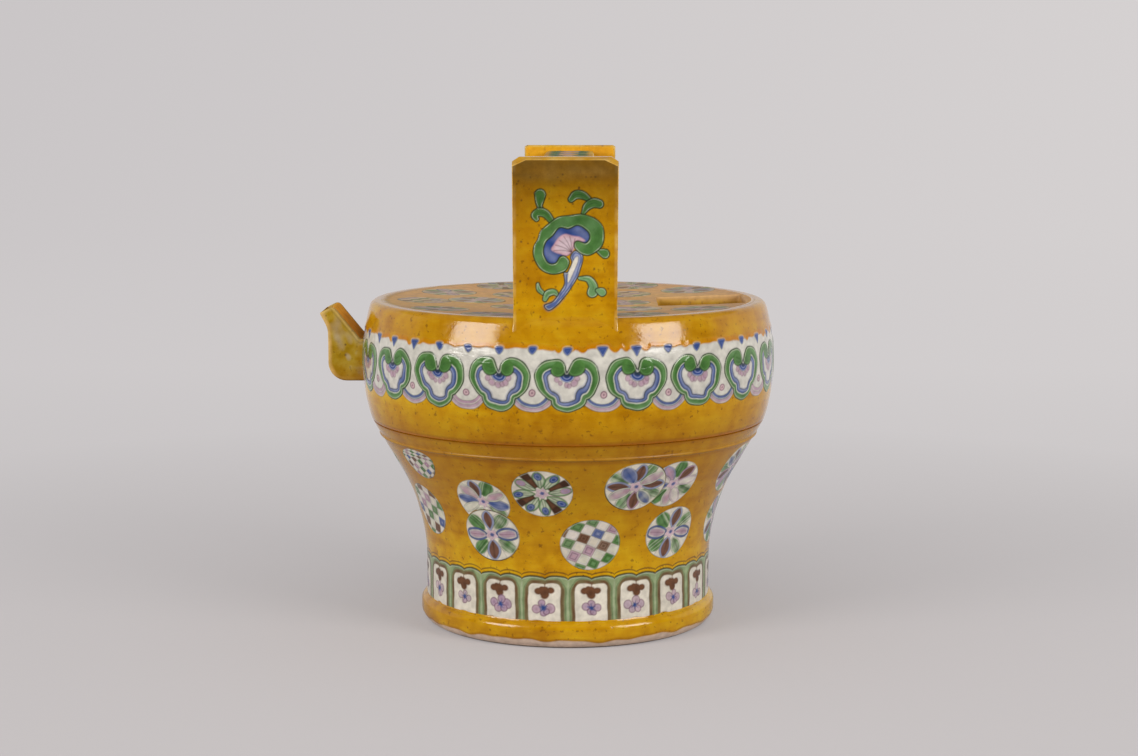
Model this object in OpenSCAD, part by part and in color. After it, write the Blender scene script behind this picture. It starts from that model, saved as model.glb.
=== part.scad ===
// Ceramic water pot in hand-pail form, thrown rings and cut slabs luted with slip.
// Origin at the centre of the foot on the table, +Z up, spout towards -X, front post towards -Y.

/* [Foot] */
// Height of the foot ring, which the wall stands on
foot_h = 13; // [12:0.5:20]
// Swell of the toe beyond the waist
toe_out = 2.4; // [0.5:0.1:5]
// Rounding of the toe
toe_round = 5.5; // [4:0.1:7]
// Distance of the standing flat's outer edge inside the toe
toe_inset = 3.2; // [1.5:0.1:4]
// Width of the foot ring's bearing rim
stand_w = 12; // [8:0.5:18]
// Thickness of the floor slab
base_t = 6.5; // [4:0.1:8]
// Width of the ledge that carries the floor slab
base_ledge = 4; // [2.5:0.1:6]

/* [Body walls] */
// Radius of the waist above the foot
waist_r = 66.8; // [55:0.1:80]
// Height of the straight waist above the foot ring
waist_h = 15; // [6:0.5:24]
// Height of the flare, from the waist to the shoulder seam
flare_h = 67.7; // [58:0.1:85]
// Height of the flare's curved part, the rest up to the seam is straight
flare_curve_h = 45; // [30:0.5:55]
// Spread of the flare, from the waist's radius to the seam's
flare_out = 25.2; // [15:0.1:32]
// Swell of the shoulder beyond the seam
belly_out = 4.3; // [2.5:0.1:7]
// Height of the widest point above the seam
belly_rise = 27.3; // [20:0.1:34]
// Height of the roof's rim above the widest point
shoulder_rise = 28.2; // [22:0.1:32]
// Rounding of the shoulder into the roof
shoulder_round = 3.8; // [2:0.1:5]
// Wall thickness of both thrown walls
wall_t = 6.5; // [5:0.1:8]
// Depth of the tooled groove along the seam
seam_groove = 1.6; // [0.6:0.1:2.2]
// Height of the hidden lap that centres the upper wall on the lower one
lap_h = 2.5; // [1.5:0.1:4]
// Radius of the raised line below the seam
line_r = 0.8; // [0.4:0.1:1.4]
// Distance of the raised line below the seam
line_drop = 6.3; // [4:0.1:9]

/* [Roof] */
// Width of the upper wall's flat lip round the roof slab
rim_lip = 1.9; // [1:0.1:4]
// Thickness of the roof slab at its rim
plate_t = 6.5; // [5:0.1:8]
// Sag of the roof slab at its centre
plate_dish = 2.3; // [0:0.1:3]
// Width of the ledge that carries the roof slab
plate_ledge = 3.2; // [3:0.1:5]
// Size of the square filling hole
hole_w = 40; // [24:0.5:46]
// Distance of the hole from the roof slab's edge
hole_margin = 5.1; // [4.5:0.1:16]
// Corner radius of the hole
hole_round = 2; // [0.5:0.1:5]

/* [Handle] */
// Height of the post tops above the roof's rim
post_h = 68.8; // [45:0.1:90]
// Width of a post at the roof
post_w = 44.5; // [34:0.5:52]
// Widening of a post towards its top, on each side
post_flare = 0.5; // [0:0.1:2]
// Thickness of a post
post_t = 9; // [7:0.1:12]
// Reach of a post's outer face past the flat of the roof
post_over = 1.1; // [-4:0.1:2]
// Corner cut of a post's outline, sideways
corner_x = 3; // [1:0.1:5]
// Corner cut of a post's outline, downwards
corner_z = 2; // [1:0.1:4]
// Depth of the bevel round a post's outer top edge
bevel_t = 2.6; // [1:0.1:4]
// Drop of the bevel on a post's outer face
bevel_drop = 1; // [0.5:0.1:3]
// Extra corner cut on a post's outer face
bevel_corner = 2.6; // [1:0.1:6]
// Width of the crossbar
bar_w = 25; // [18:0.5:30]
// Thickness of the crossbar
bar_t = 11.5; // [9:0.1:15]
// Distance of the crossbar's top below the post tops
bar_drop = 2.8; // [2:0.1:8]
// Rounding of the crossbar's long edges
bar_round = 2.5; // [1:0.1:4]

/* [Spout] */
// Outer width of the spout
spout_w = 26; // [20:0.5:32]
// Reach of the spout's front face past the widest point of the wall
spout_reach = 15; // [13:0.1:22]
// Drop of the spout's underside below the widest point of the wall
spout_drop = 9.4; // [7:0.1:13]
// Rounding of the underside into the front face
spout_round = 8.5; // [6:0.1:10]
// Height of the front face, from the underside to the lip
front_h = 23.9; // [20:0.1:27]
// Height of the lip above the front face
lip_h = 7.7; // [5:0.1:10]
// Reach of the lip's tip past the front face
lip_out = 3.7; // [2:0.1:6]
// Height of the mouth's upper edge above the lip's tip
mouth_rise = 3.2; // [1:0.1:5]
// Distance of the mouth's upper edge behind the front face
mouth_back = 2.4; // [1:0.1:4]
// Height of the spout at the wall, from its underside to its roof
root_h = 19.4; // [17:0.1:22]
// Thickness of the spout's slabs
spout_t = 2.8; // [2:0.1:3.2]
// Thickness of the slabs at the mouth
lip_t = 1.2; // [0.8:0.1:1.6]
// Distance of the port's sides inside the spout's cheeks
port_side = 1.7; // [0.5:0.1:4]
// Distance of the port's top below the spout's roof
port_head = 1; // [0.5:0.1:3]

/* [Joints] */
// Slip line left between luted pieces where their faces are curved
slip = 0.15; // [0.05:0.01:0.3]

/* [Hidden] */
$fn = 96;
// Steps along each drawn arc
arc_steps = 14;
// Overrun of cutting shapes past the faces they cut
over = 5;
// Steps of the search for the flare's lean
search_steps = 24;
// Steepest lean that the search for the flare tries
lean_limit = 80;

waist_z = foot_h + waist_h;
seam_z = waist_z + flare_h;
seam_r = waist_r + flare_out;
flare_lean = find_lean(0, lean_limit, flare_out, search_steps);
flare_arc = flare_curve_h / sin(flare_lean);
seam_t = wall_t / cos(flare_lean);
lap_r = seam_r - seam_t / 2;

belly_z = seam_z + belly_rise;
belly_r = seam_r + belly_out;
belly_arc = (belly_rise * belly_rise + belly_out * belly_out) / (2 * belly_out);
belly_cx = belly_r - belly_arc;
seam_angle = asin(belly_rise / belly_arc);

rim_z = belly_z + shoulder_rise;
round_z = rim_z - shoulder_round;
round_x = belly_cx + sqrt(pow(belly_arc - shoulder_round, 2) - pow(round_z - belly_z, 2));
round_angle = atan2(round_z - belly_z, round_x - belly_cx);

toe_r = waist_r + toe_out;
stand_r = toe_r - toe_inset;
base_r = stand_r - stand_w + base_ledge;

plate_r = round_x - rim_lip;
ledge_z = rim_z - plate_t;
ledge_r = plate_r - plate_ledge;
corbel_z = ledge_z - (belly_r - wall_t - ledge_r);
corbel_angle = asin((corbel_z - belly_z) / (belly_arc - wall_t));
dish_arc = plate_dish > 0 ? (plate_r * plate_r + plate_dish * plate_dish) / (2 * plate_dish) : 0;
hole_x = plate_r - hole_margin - hole_w / 2;

post_top = rim_z + post_h;
post_y = round_x + post_over;
post_inner = post_y - post_t;

spout_x = belly_r + spout_reach;
spout_z = belly_z - spout_drop;
lip_z = spout_z + front_h;
tip_x = spout_x + lip_out;
tip_z = lip_z + lip_h;
mouth_x = spout_x - mouth_back;
mouth_z = tip_z + mouth_rise;
roof_z = spout_z + root_h;
roof_lean = atan2(mouth_z - roof_z, mouth_x - belly_r);
roof_drop = spout_t / cos(roof_lean);
root_x = belly_r - wall_t;
cheek_y = spout_w / 2 - spout_t;
port_w = 2 * (cheek_y - port_side);
port_z = spout_z + spout_t + slip;
port_h = roof_z - roof_drop - port_head - port_z;

// Spread of the flare for a lean, the curved part first, then the straight part
function flare_gain(a) = flare_curve_h * tan(a / 2) + (flare_h - flare_curve_h) * tan(a);

// Lean at which the flare reaches the seam, by halving the range
function find_lean(lo, hi, want, n) =
  n == 0 ? (lo + hi) / 2
  : flare_gain((lo + hi) / 2) < want ? find_lean((lo + hi) / 2, hi, want, n - 1)
  : find_lean(lo, (lo + hi) / 2, want, n - 1);

// Points of an arc from one angle to another
function arc(cx, cy, r, from, to) =
  [for (i = [0:arc_steps]) let (a = from + (to - from) * i / arc_steps) [cx + r * cos(a), cy + r * sin(a)]];

function flip(points) = [for (i = [len(points) - 1:-1:0]) points[i]];

// The lower wall's curve, set inwards by t, from the foot up to the seam
function flare_curve(t) = concat(
  [[waist_r - t, foot_h]],
  arc(waist_r + flare_arc, waist_z, flare_arc + t, 180, 180 - flare_lean),
  [[seam_r - t / cos(flare_lean), seam_z]]
);

// The shoulder's outer curve, set outwards by g, from the seam up over the rounding
function shoulder_curve(g) = concat(
  arc(belly_cx, belly_z, belly_arc + g, -seam_angle, round_angle),
  arc(round_x, round_z, shoulder_round + g, round_angle, 90)
);

// The roof's hollow, raised by g, from the rim to the axis
function dish_curve(g) =
  plate_dish > 0
  ? [for (i = [0:arc_steps]) let (x = plate_r * (1 - i / arc_steps))
    [x, rim_z - plate_dish + dish_arc - sqrt(dish_arc * dish_arc - x * x) + g]]
  : [[plate_r, rim_z + g], [0, rim_z + g]];

// Everything under the glaze from the seam up, grown by g, for fitting pieces to it
module shoulder_envelope(g) {
  rotate_extrude()
    polygon(concat([[0, seam_z]], shoulder_curve(g), dish_curve(g)));
}

module foot_ring() {
  toe_cx = toe_r - toe_round;
  dx = waist_r - toe_cx;
  dz = foot_h - toe_round;
  toe_angle = atan2(dz, dx) - acos(toe_round / norm([dx, dz]));
  stand_angle = -acos(1 - toe_inset / toe_round);
  color("goldenrod")
    rotate_extrude()
      polygon(concat(
        [[stand_r - stand_w, 0], [stand_r, 0]],
        arc(toe_cx, toe_round, toe_round, stand_angle, toe_angle),
        [
          [waist_r, foot_h],
          [base_r + slip, foot_h],
          [base_r + slip, foot_h - base_t],
          [stand_r - stand_w, foot_h - base_t]
        ]
      ));
}

module base_disc() {
  color("peru")
    translate([0, 0, foot_h - base_t])
      cylinder(r = base_r, h = base_t);
}

module lower_wall() {
  line_z = seam_z - line_drop;
  line_x = seam_r - line_drop * tan(flare_lean);
  color("gold")
    rotate_extrude() {
      difference() {
        polygon(concat(
          flare_curve(0),
          [[lap_r, seam_z], [lap_r, seam_z + lap_h], [seam_r - seam_t, seam_z + lap_h]],
          flip(flare_curve(wall_t))
        ));
        polygon([
          [seam_r - seam_groove, seam_z],
          [seam_r + over, seam_z - seam_groove - over],
          [seam_r + over, seam_z + over],
          [seam_r - seam_groove, seam_z + over]
        ]);
      }
      translate([line_x, line_z])
        circle(line_r);
    }
}

module upper_wall() {
  lap_clear = lap_r + slip;
  color("khaki")
    difference() {
      rotate_extrude()
        difference() {
          polygon(concat(
            shoulder_curve(0),
            [[plate_r + slip, rim_z], [plate_r + slip, ledge_z], [ledge_r, ledge_z]],
            flip(arc(belly_cx, belly_z, belly_arc - wall_t, -seam_angle, corbel_angle)),
            [
              [seam_r - seam_t, seam_z + lap_h + slip],
              [lap_clear, seam_z + lap_h + slip],
              [lap_clear, seam_z]
            ]
          ));
          polygon([
            [seam_r - seam_groove, seam_z],
            [seam_r + over, seam_z + seam_groove + over],
            [seam_r + over, seam_z - over],
            [seam_r - seam_groove, seam_z - over]
          ]);
        }
      translate([-belly_r - over, -port_w / 2, port_z])
        cube([wall_t + belly_out + 2 * over, port_w, port_h]);
    }
}

module rounded_square(w, r) {
  d = w - 2 * r;
  square([w, d], center = true);
  square([d, w], center = true);
  for (x = [-1, 1], y = [-1, 1])
    translate([x * d / 2, y * d / 2])
      circle(r);
}

module top_plate() {
  color("orange")
    difference() {
      rotate_extrude()
        polygon(concat([[0, ledge_z], [plate_r, ledge_z]], dish_curve(0)));
      translate([hole_x, 0, ledge_z - over])
        linear_extrude(plate_t + 2 * over)
          rounded_square(hole_w, hole_round);
    }
}

// Post outline seen from the front, with its corners cut and its top lowered
module post_outline(cut_x, cut_z, lower) {
  top_w = post_w / 2 + post_flare;
  top = post_top - lower;
  polygon([
    [-post_w / 2, belly_z],
    [post_w / 2, belly_z],
    [top_w, top - cut_z],
    [top_w - cut_x, top],
    [cut_x - top_w, top],
    [-top_w, top - cut_z]
  ]);
}

// A post in front of the axis, its foot cut to the roof and the shoulder
module post() {
  color("darkorange")
    difference() {
      hull() {
        translate([0, -post_inner, 0])
          rotate([90, 0, 0])
            linear_extrude(post_t - bevel_t)
              post_outline(corner_x, corner_z, 0);
        translate([0, -post_inner, 0])
          rotate([90, 0, 0])
            linear_extrude(post_t)
              post_outline(corner_x + bevel_corner, corner_z + bevel_drop, bevel_drop);
      }
      shoulder_envelope(slip);
    }
}

module front_post() {
  post();
}

module rear_post() {
  mirror([0, 1, 0])
    post();
}

module crossbar() {
  color("olive")
    translate([0, post_inner, post_top - bar_drop - bar_t / 2])
      rotate([90, 0, 0])
        linear_extrude(2 * post_inner) {
          square([bar_w, bar_t - 2 * bar_round], center = true);
          square([bar_w - 2 * bar_round, bar_t], center = true);
          for (x = [-1, 1], y = [-1, 1])
            translate([x * (bar_w / 2 - bar_round), y * (bar_t / 2 - bar_round)])
              circle(bar_round);
        }
}

// The underside and front of the spout as a curve, set inwards by t, ending at the lip
function belly_curve(t, tip) = concat(
  [[-root_x, spout_z + t]],
  flip(arc(spout_round - spout_x, spout_z + spout_round, spout_round - t, 180, 270)),
  [[t - spout_x, lip_z], [tip - tip_x, tip_z + tip * (mouth_z - tip_z) / (tip_x - mouth_x)]]
);

// Extrudes an outline drawn in the spout's own plane across the width given
module across(from, to) {
  translate([0, to, 0])
    rotate([90, 0, 0])
      linear_extrude(to - from)
        children();
}

module cheek() {
  difference() {
    across(cheek_y, spout_w / 2)
      polygon(concat(
        belly_curve(0, 0),
        [[-mouth_x, mouth_z], [-belly_r, roof_z], [-root_x, roof_z]]
      ));
    shoulder_envelope(slip);
  }
}

module spout_front_cheek() {
  color("tan")
    mirror([0, 1, 0])
      cheek();
}

module spout_rear_cheek() {
  color("burlywood")
    cheek();
}

module spout_belly() {
  color("sandybrown")
    difference() {
      across(-cheek_y, cheek_y)
        polygon(concat(belly_curve(0, 0), flip(belly_curve(spout_t, lip_t))));
      shoulder_envelope(slip);
    }
}

module spout_roof() {
  color("chocolate")
    difference() {
      across(-cheek_y, cheek_y)
        polygon([
          [-mouth_x, mouth_z],
          [-belly_r, roof_z],
          [-root_x, roof_z],
          [-root_x, roof_z - roof_drop],
          [-belly_r, roof_z - roof_drop],
          [-mouth_x - lip_t * sin(roof_lean), mouth_z - lip_t * cos(roof_lean)]
        ]);
      shoulder_envelope(slip);
    }
}

foot_ring();
base_disc();
lower_wall();
upper_wall();
top_plate();
front_post();
rear_post();
crossbar();
spout_front_cheek();
spout_rear_cheek();
spout_belly();
spout_roof();
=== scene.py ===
import math

import bmesh
import bpy
import numpy as np
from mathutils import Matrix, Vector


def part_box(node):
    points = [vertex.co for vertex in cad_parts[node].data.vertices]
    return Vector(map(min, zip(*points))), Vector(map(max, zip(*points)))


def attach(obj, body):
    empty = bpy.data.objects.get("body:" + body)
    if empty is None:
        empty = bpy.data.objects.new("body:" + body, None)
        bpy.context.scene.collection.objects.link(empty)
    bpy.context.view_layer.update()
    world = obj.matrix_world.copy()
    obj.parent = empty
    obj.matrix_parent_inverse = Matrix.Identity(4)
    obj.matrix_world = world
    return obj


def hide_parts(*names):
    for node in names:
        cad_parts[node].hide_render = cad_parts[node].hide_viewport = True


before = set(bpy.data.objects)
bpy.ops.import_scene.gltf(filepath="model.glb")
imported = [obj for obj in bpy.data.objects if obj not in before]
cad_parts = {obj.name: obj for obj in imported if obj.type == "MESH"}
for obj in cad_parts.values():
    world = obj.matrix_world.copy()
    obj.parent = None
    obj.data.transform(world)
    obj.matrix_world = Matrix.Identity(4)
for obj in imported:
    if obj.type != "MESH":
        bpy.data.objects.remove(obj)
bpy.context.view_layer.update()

mm = 0.001  # shapes are drawn in millimetres and stored in metres
scene = bpy.context.scene
scene.view_settings.view_transform = "Standard"


def unit(values):  # held between nothing and one
    return np.clip(values, 0, 1)


def solidBox(node):  # lowest and highest corner of a solid, in millimetres
    low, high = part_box(node)
    return np.array(low) / mm, np.array(high) / mm


# Main sizes, taken from the solids
footTop = solidBox("lower_wall")[0][2]
toeTop = footTop - 1.0  # the glaze hides the joint, so the toe is seen to end lower
toeRadius = solidBox("foot_ring")[1][0]
seamZ = solidBox("upper_wall")[0][2]
rimZ = solidBox("upper_wall")[1][2]
bellyRadius = solidBox("upper_wall")[1][0]
roofRadius = solidBox("top_plate")[1][0]
postLow, postHigh = solidBox("front_post")
barLow, barHigh = solidBox("crossbar")
spoutLow = solidBox("spout_belly")[0]
cheekLow, cheekHigh = solidBox("spout_front_cheek")

bodyForm = {
    "waistRadius": 66.8, "waistTop": 28.0, "curveTop": 73.0, "flareLean": math.radians(30.03),
    "seamRadius": 92.0, "seamGroove": 0.7, "lineDrop": 6.3, "lineRadius": 0.8,
    "bellyZ": 123.0, "shoulderRound": 3.8, "wall": 6.5, "roofSag": 2.3, "slabHeight": 6.5, "ledge": 3.2,
    "lowerColumns": 360, "upperColumns": 480,
}
flareArc = (bodyForm["curveTop"] - bodyForm["waistTop"]) / math.sin(bodyForm["flareLean"])
bellyRise = bodyForm["bellyZ"] - seamZ
bellyOut = bellyRadius - bodyForm["seamRadius"]
bellyArc = (bellyRise ** 2 + bellyOut ** 2) / (2 * bellyOut)
bellyAxis = bellyRadius - bellyArc
roundZ = rimZ - bodyForm["shoulderRound"]
roundRise = roundZ - bodyForm["bellyZ"]
roundX = bellyAxis + math.sqrt((bellyArc - bodyForm["shoulderRound"]) ** 2 - roundRise ** 2)
roundLean = math.atan2(roundRise, roundX - bellyAxis)
roofArc = (roofRadius ** 2 + bodyForm["roofSag"] ** 2) / (2 * bodyForm["roofSag"])


def wallRadius(z):  # outer radius of the lower wall
    z = np.asarray(z, float)
    above = np.clip(z - bodyForm["waistTop"], 0, bodyForm["curveTop"] - bodyForm["waistTop"])
    curved = bodyForm["waistRadius"] + flareArc - np.sqrt(flareArc ** 2 - above ** 2)
    straight = bodyForm["seamRadius"] - (seamZ - z) * math.tan(bodyForm["flareLean"])
    return np.where(z < bodyForm["curveTop"], curved, straight)


def shoulderRadius(z, inset=0.0):  # outer radius of the shoulder's swell
    return bellyAxis + np.sqrt((bellyArc - inset) ** 2 - (np.asarray(z, float) - bodyForm["bellyZ"]) ** 2)


def roofHeight(radius):  # top of the roof and of the shoulder round it
    radius = np.asarray(radius, float)
    inner = np.clip(radius, 0, roofRadius)
    sag = rimZ - bodyForm["roofSag"] + roofArc - np.sqrt(roofArc ** 2 - inner ** 2)
    turned = roundZ + np.sqrt(np.clip(bodyForm["shoulderRound"] ** 2 - (radius - roundX) ** 2, 0, None))
    swell = bodyForm["bellyZ"] + np.sqrt(np.clip(bellyArc ** 2 - (radius - bellyAxis) ** 2, 0, None))
    tangent = roundX + bodyForm["shoulderRound"] * math.cos(roundLean)
    height = np.where(radius < roofRadius, sag, rimZ)
    height = np.where(radius > roundX, turned, height)
    return np.where(radius > tangent, swell, height)


# Tones as they are seen, turned into linear light
def tone(red, green, blue):
    seen = np.array([red, green, blue]) / 255
    return np.where(seen <= 0.04045, seen / 12.92, ((seen + 0.055) / 1.055) ** 2.4)


# the honey tone is laid only as painted light, the treacle tone only as painted shade; haze is laid for
# rubbed scuffs and as a painted reflection on the matt roof
enamel = {
    "ivory": tone(212, 207, 193), "paleLine": tone(204, 206, 188), "outline": tone(40, 44, 28),
    "green": tone(74, 118, 58), "deepGreen": tone(38, 74, 36), "leafGreen": tone(108, 148, 98),
    "blue": tone(67, 86, 136), "deepBlue": tone(46, 70, 130), "paleBlue": tone(140, 148, 178),
    "lilac": tone(166, 136, 154), "paleLilac": tone(202, 186, 194), "rose": tone(190, 150, 160),
    "aubergine": tone(112, 80, 98), "brown": tone(108, 71, 48), "umber": tone(66, 42, 28),
    "mauve": tone(146, 118, 144), "rosyAmber": tone(226, 158, 96), "biscuit": tone(200, 178, 160),
    "olive": tone(98, 80, 38), "worn": tone(222, 196, 136), "honey": tone(240, 172, 58),
    "drip": tone(184, 106, 4), "treacle": tone(106, 70, 8), "sage": tone(138, 155, 114),
    "sand": tone(206, 160, 84), "haze": tone(186, 170, 140), "chalk": tone(198, 196, 187),
}


# Painting: every vertex has a colour, a cover over the amber glaze and a relief in millimetres
def newCanvas(x, y):
    x, y = np.broadcast_arrays(np.asarray(x, float), np.asarray(y, float))
    blank = np.zeros(x.size)
    return {"x": x.ravel().copy(), "y": y.ravel().copy(), "colour": np.zeros((x.size, 3)),
            "cover": blank.copy(), "relief": blank.copy(), "pool": blank.copy(), "dry": blank.copy()}


def cutCanvas(canvas, chosen, x, y):  # some of the vertices, with local places of their own
    part = {key: canvas[key][chosen].copy() for key in ("colour", "cover", "relief", "pool", "dry")}
    part["x"], part["y"] = x.copy(), y.copy()
    return part


def pasteCanvas(canvas, part, chosen):
    for key in ("colour", "cover", "relief", "pool", "dry"):
        canvas[key][chosen] = part[key]


def lay(canvas, depth, colour, soft=0.36, strength=1.0, rise=0.0):  # depth is negative inside a shape
    amount = strength * unit(0.5 - depth / soft)
    total = amount + canvas["cover"] * (1 - amount)
    share = amount / np.maximum(total, 1e-6)
    canvas["colour"] += (enamel[colour] - canvas["colour"]) * share[:, None]
    canvas["cover"] = total
    canvas["relief"] += rise * amount


def flow(points, closed=False, steps=5):  # smooth curve through a few points
    p = np.array(points, float)
    p = np.vstack([p[-1], p, p[:2]]) if closed else np.vstack([2 * p[0] - p[1], p, 2 * p[-1] - p[-2]])
    curve = []
    for a, b, c, d in zip(p[:-3], p[1:-2], p[2:-1], p[3:]):
        for t in np.arange(steps) / steps:
            bend = (2 * a - 5 * b + 4 * c - d) * t ** 2 + (3 * b - a - 3 * c + d) * t ** 3
            curve.append(0.5 * (2 * b + (c - a) * t + bend))
    if not closed:
        curve.append(p[-2])
    return np.array(curve)


def lineGap(canvas, line):  # distance to a line, less its half width where its points have one
    x, y = canvas["x"], canvas["y"]
    nearest = np.full(x.shape, 1e9)
    for a, b in zip(line[:-1], line[1:]):
        dx, dy = b[0] - a[0], b[1] - a[1]
        t = unit(((x - a[0]) * dx + (y - a[1]) * dy) / (dx * dx + dy * dy + 1e-12))
        gap = np.hypot(x - a[0] - t * dx, y - a[1] - t * dy)
        if len(a) == 3:
            gap -= a[2] + t * (b[2] - a[2])
        nearest = np.minimum(nearest, gap)
    return nearest


def loopDepth(canvas, loop):  # signed distance to a closed outline, negative inside
    x, y = canvas["x"], canvas["y"]
    ring = np.vstack([loop, loop[:1]])
    within = np.zeros(x.shape, bool)
    for a, b in zip(ring[:-1], ring[1:]):
        if a[1] != b[1]:
            crosses = (a[1] > y) != (b[1] > y)
            within ^= crosses & (x < a[0] + (y - a[1]) * (b[0] - a[0]) / (b[1] - a[1]))
    gap = lineGap(canvas, ring)
    return np.where(within, -gap, gap)


def spot(canvas, x, y, radius, tall=1.0):  # round or oval dab
    return np.hypot(canvas["x"] - x, (canvas["y"] - y) / tall) - radius


def handDrawn(canvas, rng, amount):  # small unevenness of the brush, different for each copy
    phase = rng.uniform(0, 6.28, 6)
    x, y = canvas["x"], canvas["y"]
    sway = np.sin(0.31 * y + phase[0]) + 0.6 * np.sin(0.47 * x + phase[1]) + 0.4 * np.sin(0.9 * y + phase[2])
    lift = np.sin(0.29 * x + phase[3]) + 0.6 * np.sin(0.43 * y + phase[4]) + 0.4 * np.sin(0.8 * x + phase[5])
    canvas["x"] = x + amount * sway
    canvas["y"] = y + amount * lift


def turns(count):  # even steps once round
    return np.arange(count) * 2 * math.pi / count


def aside(turn, place):  # how far round from a place, to either side
    return (turn - place + math.pi) % (2 * math.pi) - math.pi


def paintCells(canvas, turn, look, radius, shift, painter, *details):  # a motif all round the pot
    pitch = 2 * math.pi / look["count"]
    for k in range(look["count"]):
        local = aside(turn, (k + shift) * pitch + math.radians(look["turn"]))
        chosen = np.flatnonzero(np.abs(local) <= pitch / 2 + 1e-6)
        part = cutCanvas(canvas, chosen, local[chosen] * radius, canvas["y"][chosen])
        painter(part, *details)
        pasteCanvas(canvas, part, chosen)


def ripple(turn, rng, waves, height):  # closed wavy line round the pot
    line = np.zeros_like(turn)
    for wave in waves:
        line += rng.uniform(0.4, 1.0) * np.sin(wave * turn + rng.uniform(0, 6.28))
    return height * line / math.sqrt(len(waves))


# Meshes
def finishMesh(name, points, faces, canvas=None, sharpAngle=None, faceOut=False):
    mesh = bpy.data.meshes.new(name)
    mesh.from_pydata((np.asarray(points) * mm).tolist(), [], faces)
    mesh.validate()
    if faceOut:
        shape = bmesh.new()
        shape.from_mesh(mesh)
        bmesh.ops.recalc_face_normals(shape, faces=shape.faces)
        shape.to_mesh(mesh)
        shape.free()
    piece = bpy.data.objects.new(name, mesh)
    scene.collection.objects.link(piece)
    if canvas is not None:
        paint = np.ones((len(points), 4), np.float32)
        paint[:, :3] = canvas["colour"]
        paint[:, 3] = canvas["cover"]
        mesh.attributes.new("enamel", "FLOAT_COLOR", "POINT").data.foreach_set("color", paint.ravel())
        for key in ("pool", "dry"):
            values = canvas[key].astype(np.float32)
            mesh.attributes.new(key, "FLOAT", "POINT").data.foreach_set("value", values)
    mesh.polygons.foreach_set("use_smooth", np.ones(len(mesh.polygons), bool))
    if sharpAngle is not None:
        mesh.set_sharp_from_angle(angle=math.radians(sharpAngle))
    mesh.update()
    return piece


def turnFaces(counts, closed=True):  # faces between rings that may have different numbers of columns
    starts = np.concatenate([[0], np.cumsum(counts)])
    faces = []
    for k in range(len(counts) - (0 if closed else 1)):
        above = (k + 1) % len(counts)
        low, high, lowAt, highAt = counts[k], counts[above], starts[k], starts[above]
        for j in range(min(low, high)):
            lowStep, highStep = max(1, low // high), max(1, high // low)
            face = [lowAt + (j * lowStep + i) % low for i in range(lowStep + 1)]
            face += [highAt + (j * highStep + i) % high for i in range(highStep, -1, -1)]
            faces.append(face)
    return faces


def turnGrid(counts):  # ring number and turn of every vertex
    ring = np.repeat(np.arange(len(counts)), counts)
    turn = np.concatenate([turns(n) for n in counts])
    return ring, turn


def wobble(turn, z):  # the thrower's hand: slightly uneven rounds
    uneven = 0.16 * np.sin(2 * turn + 0.7) + 0.1 * np.sin(3 * turn + z / 31)
    return uneven + 0.05 * np.sin(7 * turn + z / 9)


def turnedPiece(name, profile, counts, canvas, ring, turn, closed):
    height = profile[ring, 1]
    radius = profile[ring, 0] + canvas["relief"] + wobble(turn, height)
    points = np.stack([radius * np.sin(turn), -radius * np.cos(turn), height], 1)
    return finishMesh(name, points, turnFaces(counts, closed), canvas, sharpAngle=40)


def gridFaces(at):  # faces of a grid of vertex numbers
    return np.stack([at[:-1, :-1], at[:-1, 1:], at[1:, 1:], at[1:, :-1]], -1).reshape(-1, 4)


def paintedBand(name, columns, heights, radiusOf, canvas):  # band of a turned wall, in two halves
    rows = len(heights)
    turn = turns(columns)
    slope = (radiusOf(heights + 0.2) - radiusOf(heights - 0.2)) / 0.4
    tilt = np.sqrt(1 + slope ** 2)
    step = np.arange(rows)
    fade = unit(np.minimum(step, rows - 1 - step) / 3)[:, None]
    relief = canvas["relief"].reshape(rows, columns) * fade
    z = heights[:, None] - relief * (slope / tilt)[:, None]
    radius = (radiusOf(heights)[:, None] + relief / tilt[:, None]) + wobble(turn, heights[:, None])
    points = np.stack([radius * np.sin(turn), -radius * np.cos(turn), z], -1)
    for part, start in (("Front", -columns // 4), ("Rear", columns // 4)):
        pick = (np.arange(columns // 2 + 1) + start) % columns
        at = np.arange(rows * len(pick)).reshape(rows, len(pick))
        chosen = (step[:, None] * columns + pick).ravel()
        half = {key: canvas[key][chosen] for key in ("colour", "cover", "pool", "dry")}
        piece = finishMesh(name + part, points[:, pick].reshape(-1, 3), gridFaces(at).tolist(), half)
        seat(piece, amberGlaze, "amber_glaze")


def arcPoints(cx, cz, radius, start, stop, count):
    angle = np.radians(np.linspace(start, stop, count))
    return np.stack([cx + radius * np.cos(angle), cz + radius * np.sin(angle)], 1)


# Materials
def addNode(tree, kind, settings=None, inputs=None):
    made = tree.nodes.new(kind)
    for key, value in (settings or {}).items():
        setattr(made, key, value)
    for key, value in (inputs or {}).items():
        if isinstance(value, bpy.types.NodeSocket):
            tree.links.new(value, made.inputs[key])
        else:
            made.inputs[key].default_value = value
    return made


def calc(tree, operation, first, second=0.0, clamp=False):
    settings = {"operation": operation, "use_clamp": clamp}
    return addNode(tree, "ShaderNodeMath", settings, {0: first, 1: second}).outputs[0]


def addShare(tree, base, value, share, clamp=False):
    return calc(tree, "ADD", base, calc(tree, "MULTIPLY", value, share), clamp)


def mixTone(tree, factor, first, second, blend="MIX"):
    made = addNode(tree, "ShaderNodeMix", {"data_type": "RGBA", "blend_type": blend})
    for index, value in ((0, factor), (6, first), (7, second)):
        if isinstance(value, bpy.types.NodeSocket):
            tree.links.new(value, made.inputs[index])
        elif index == 0:
            made.inputs[index].default_value = value
        else:
            made.inputs[index].default_value = (*value, 1)
    return made.outputs[2]


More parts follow.
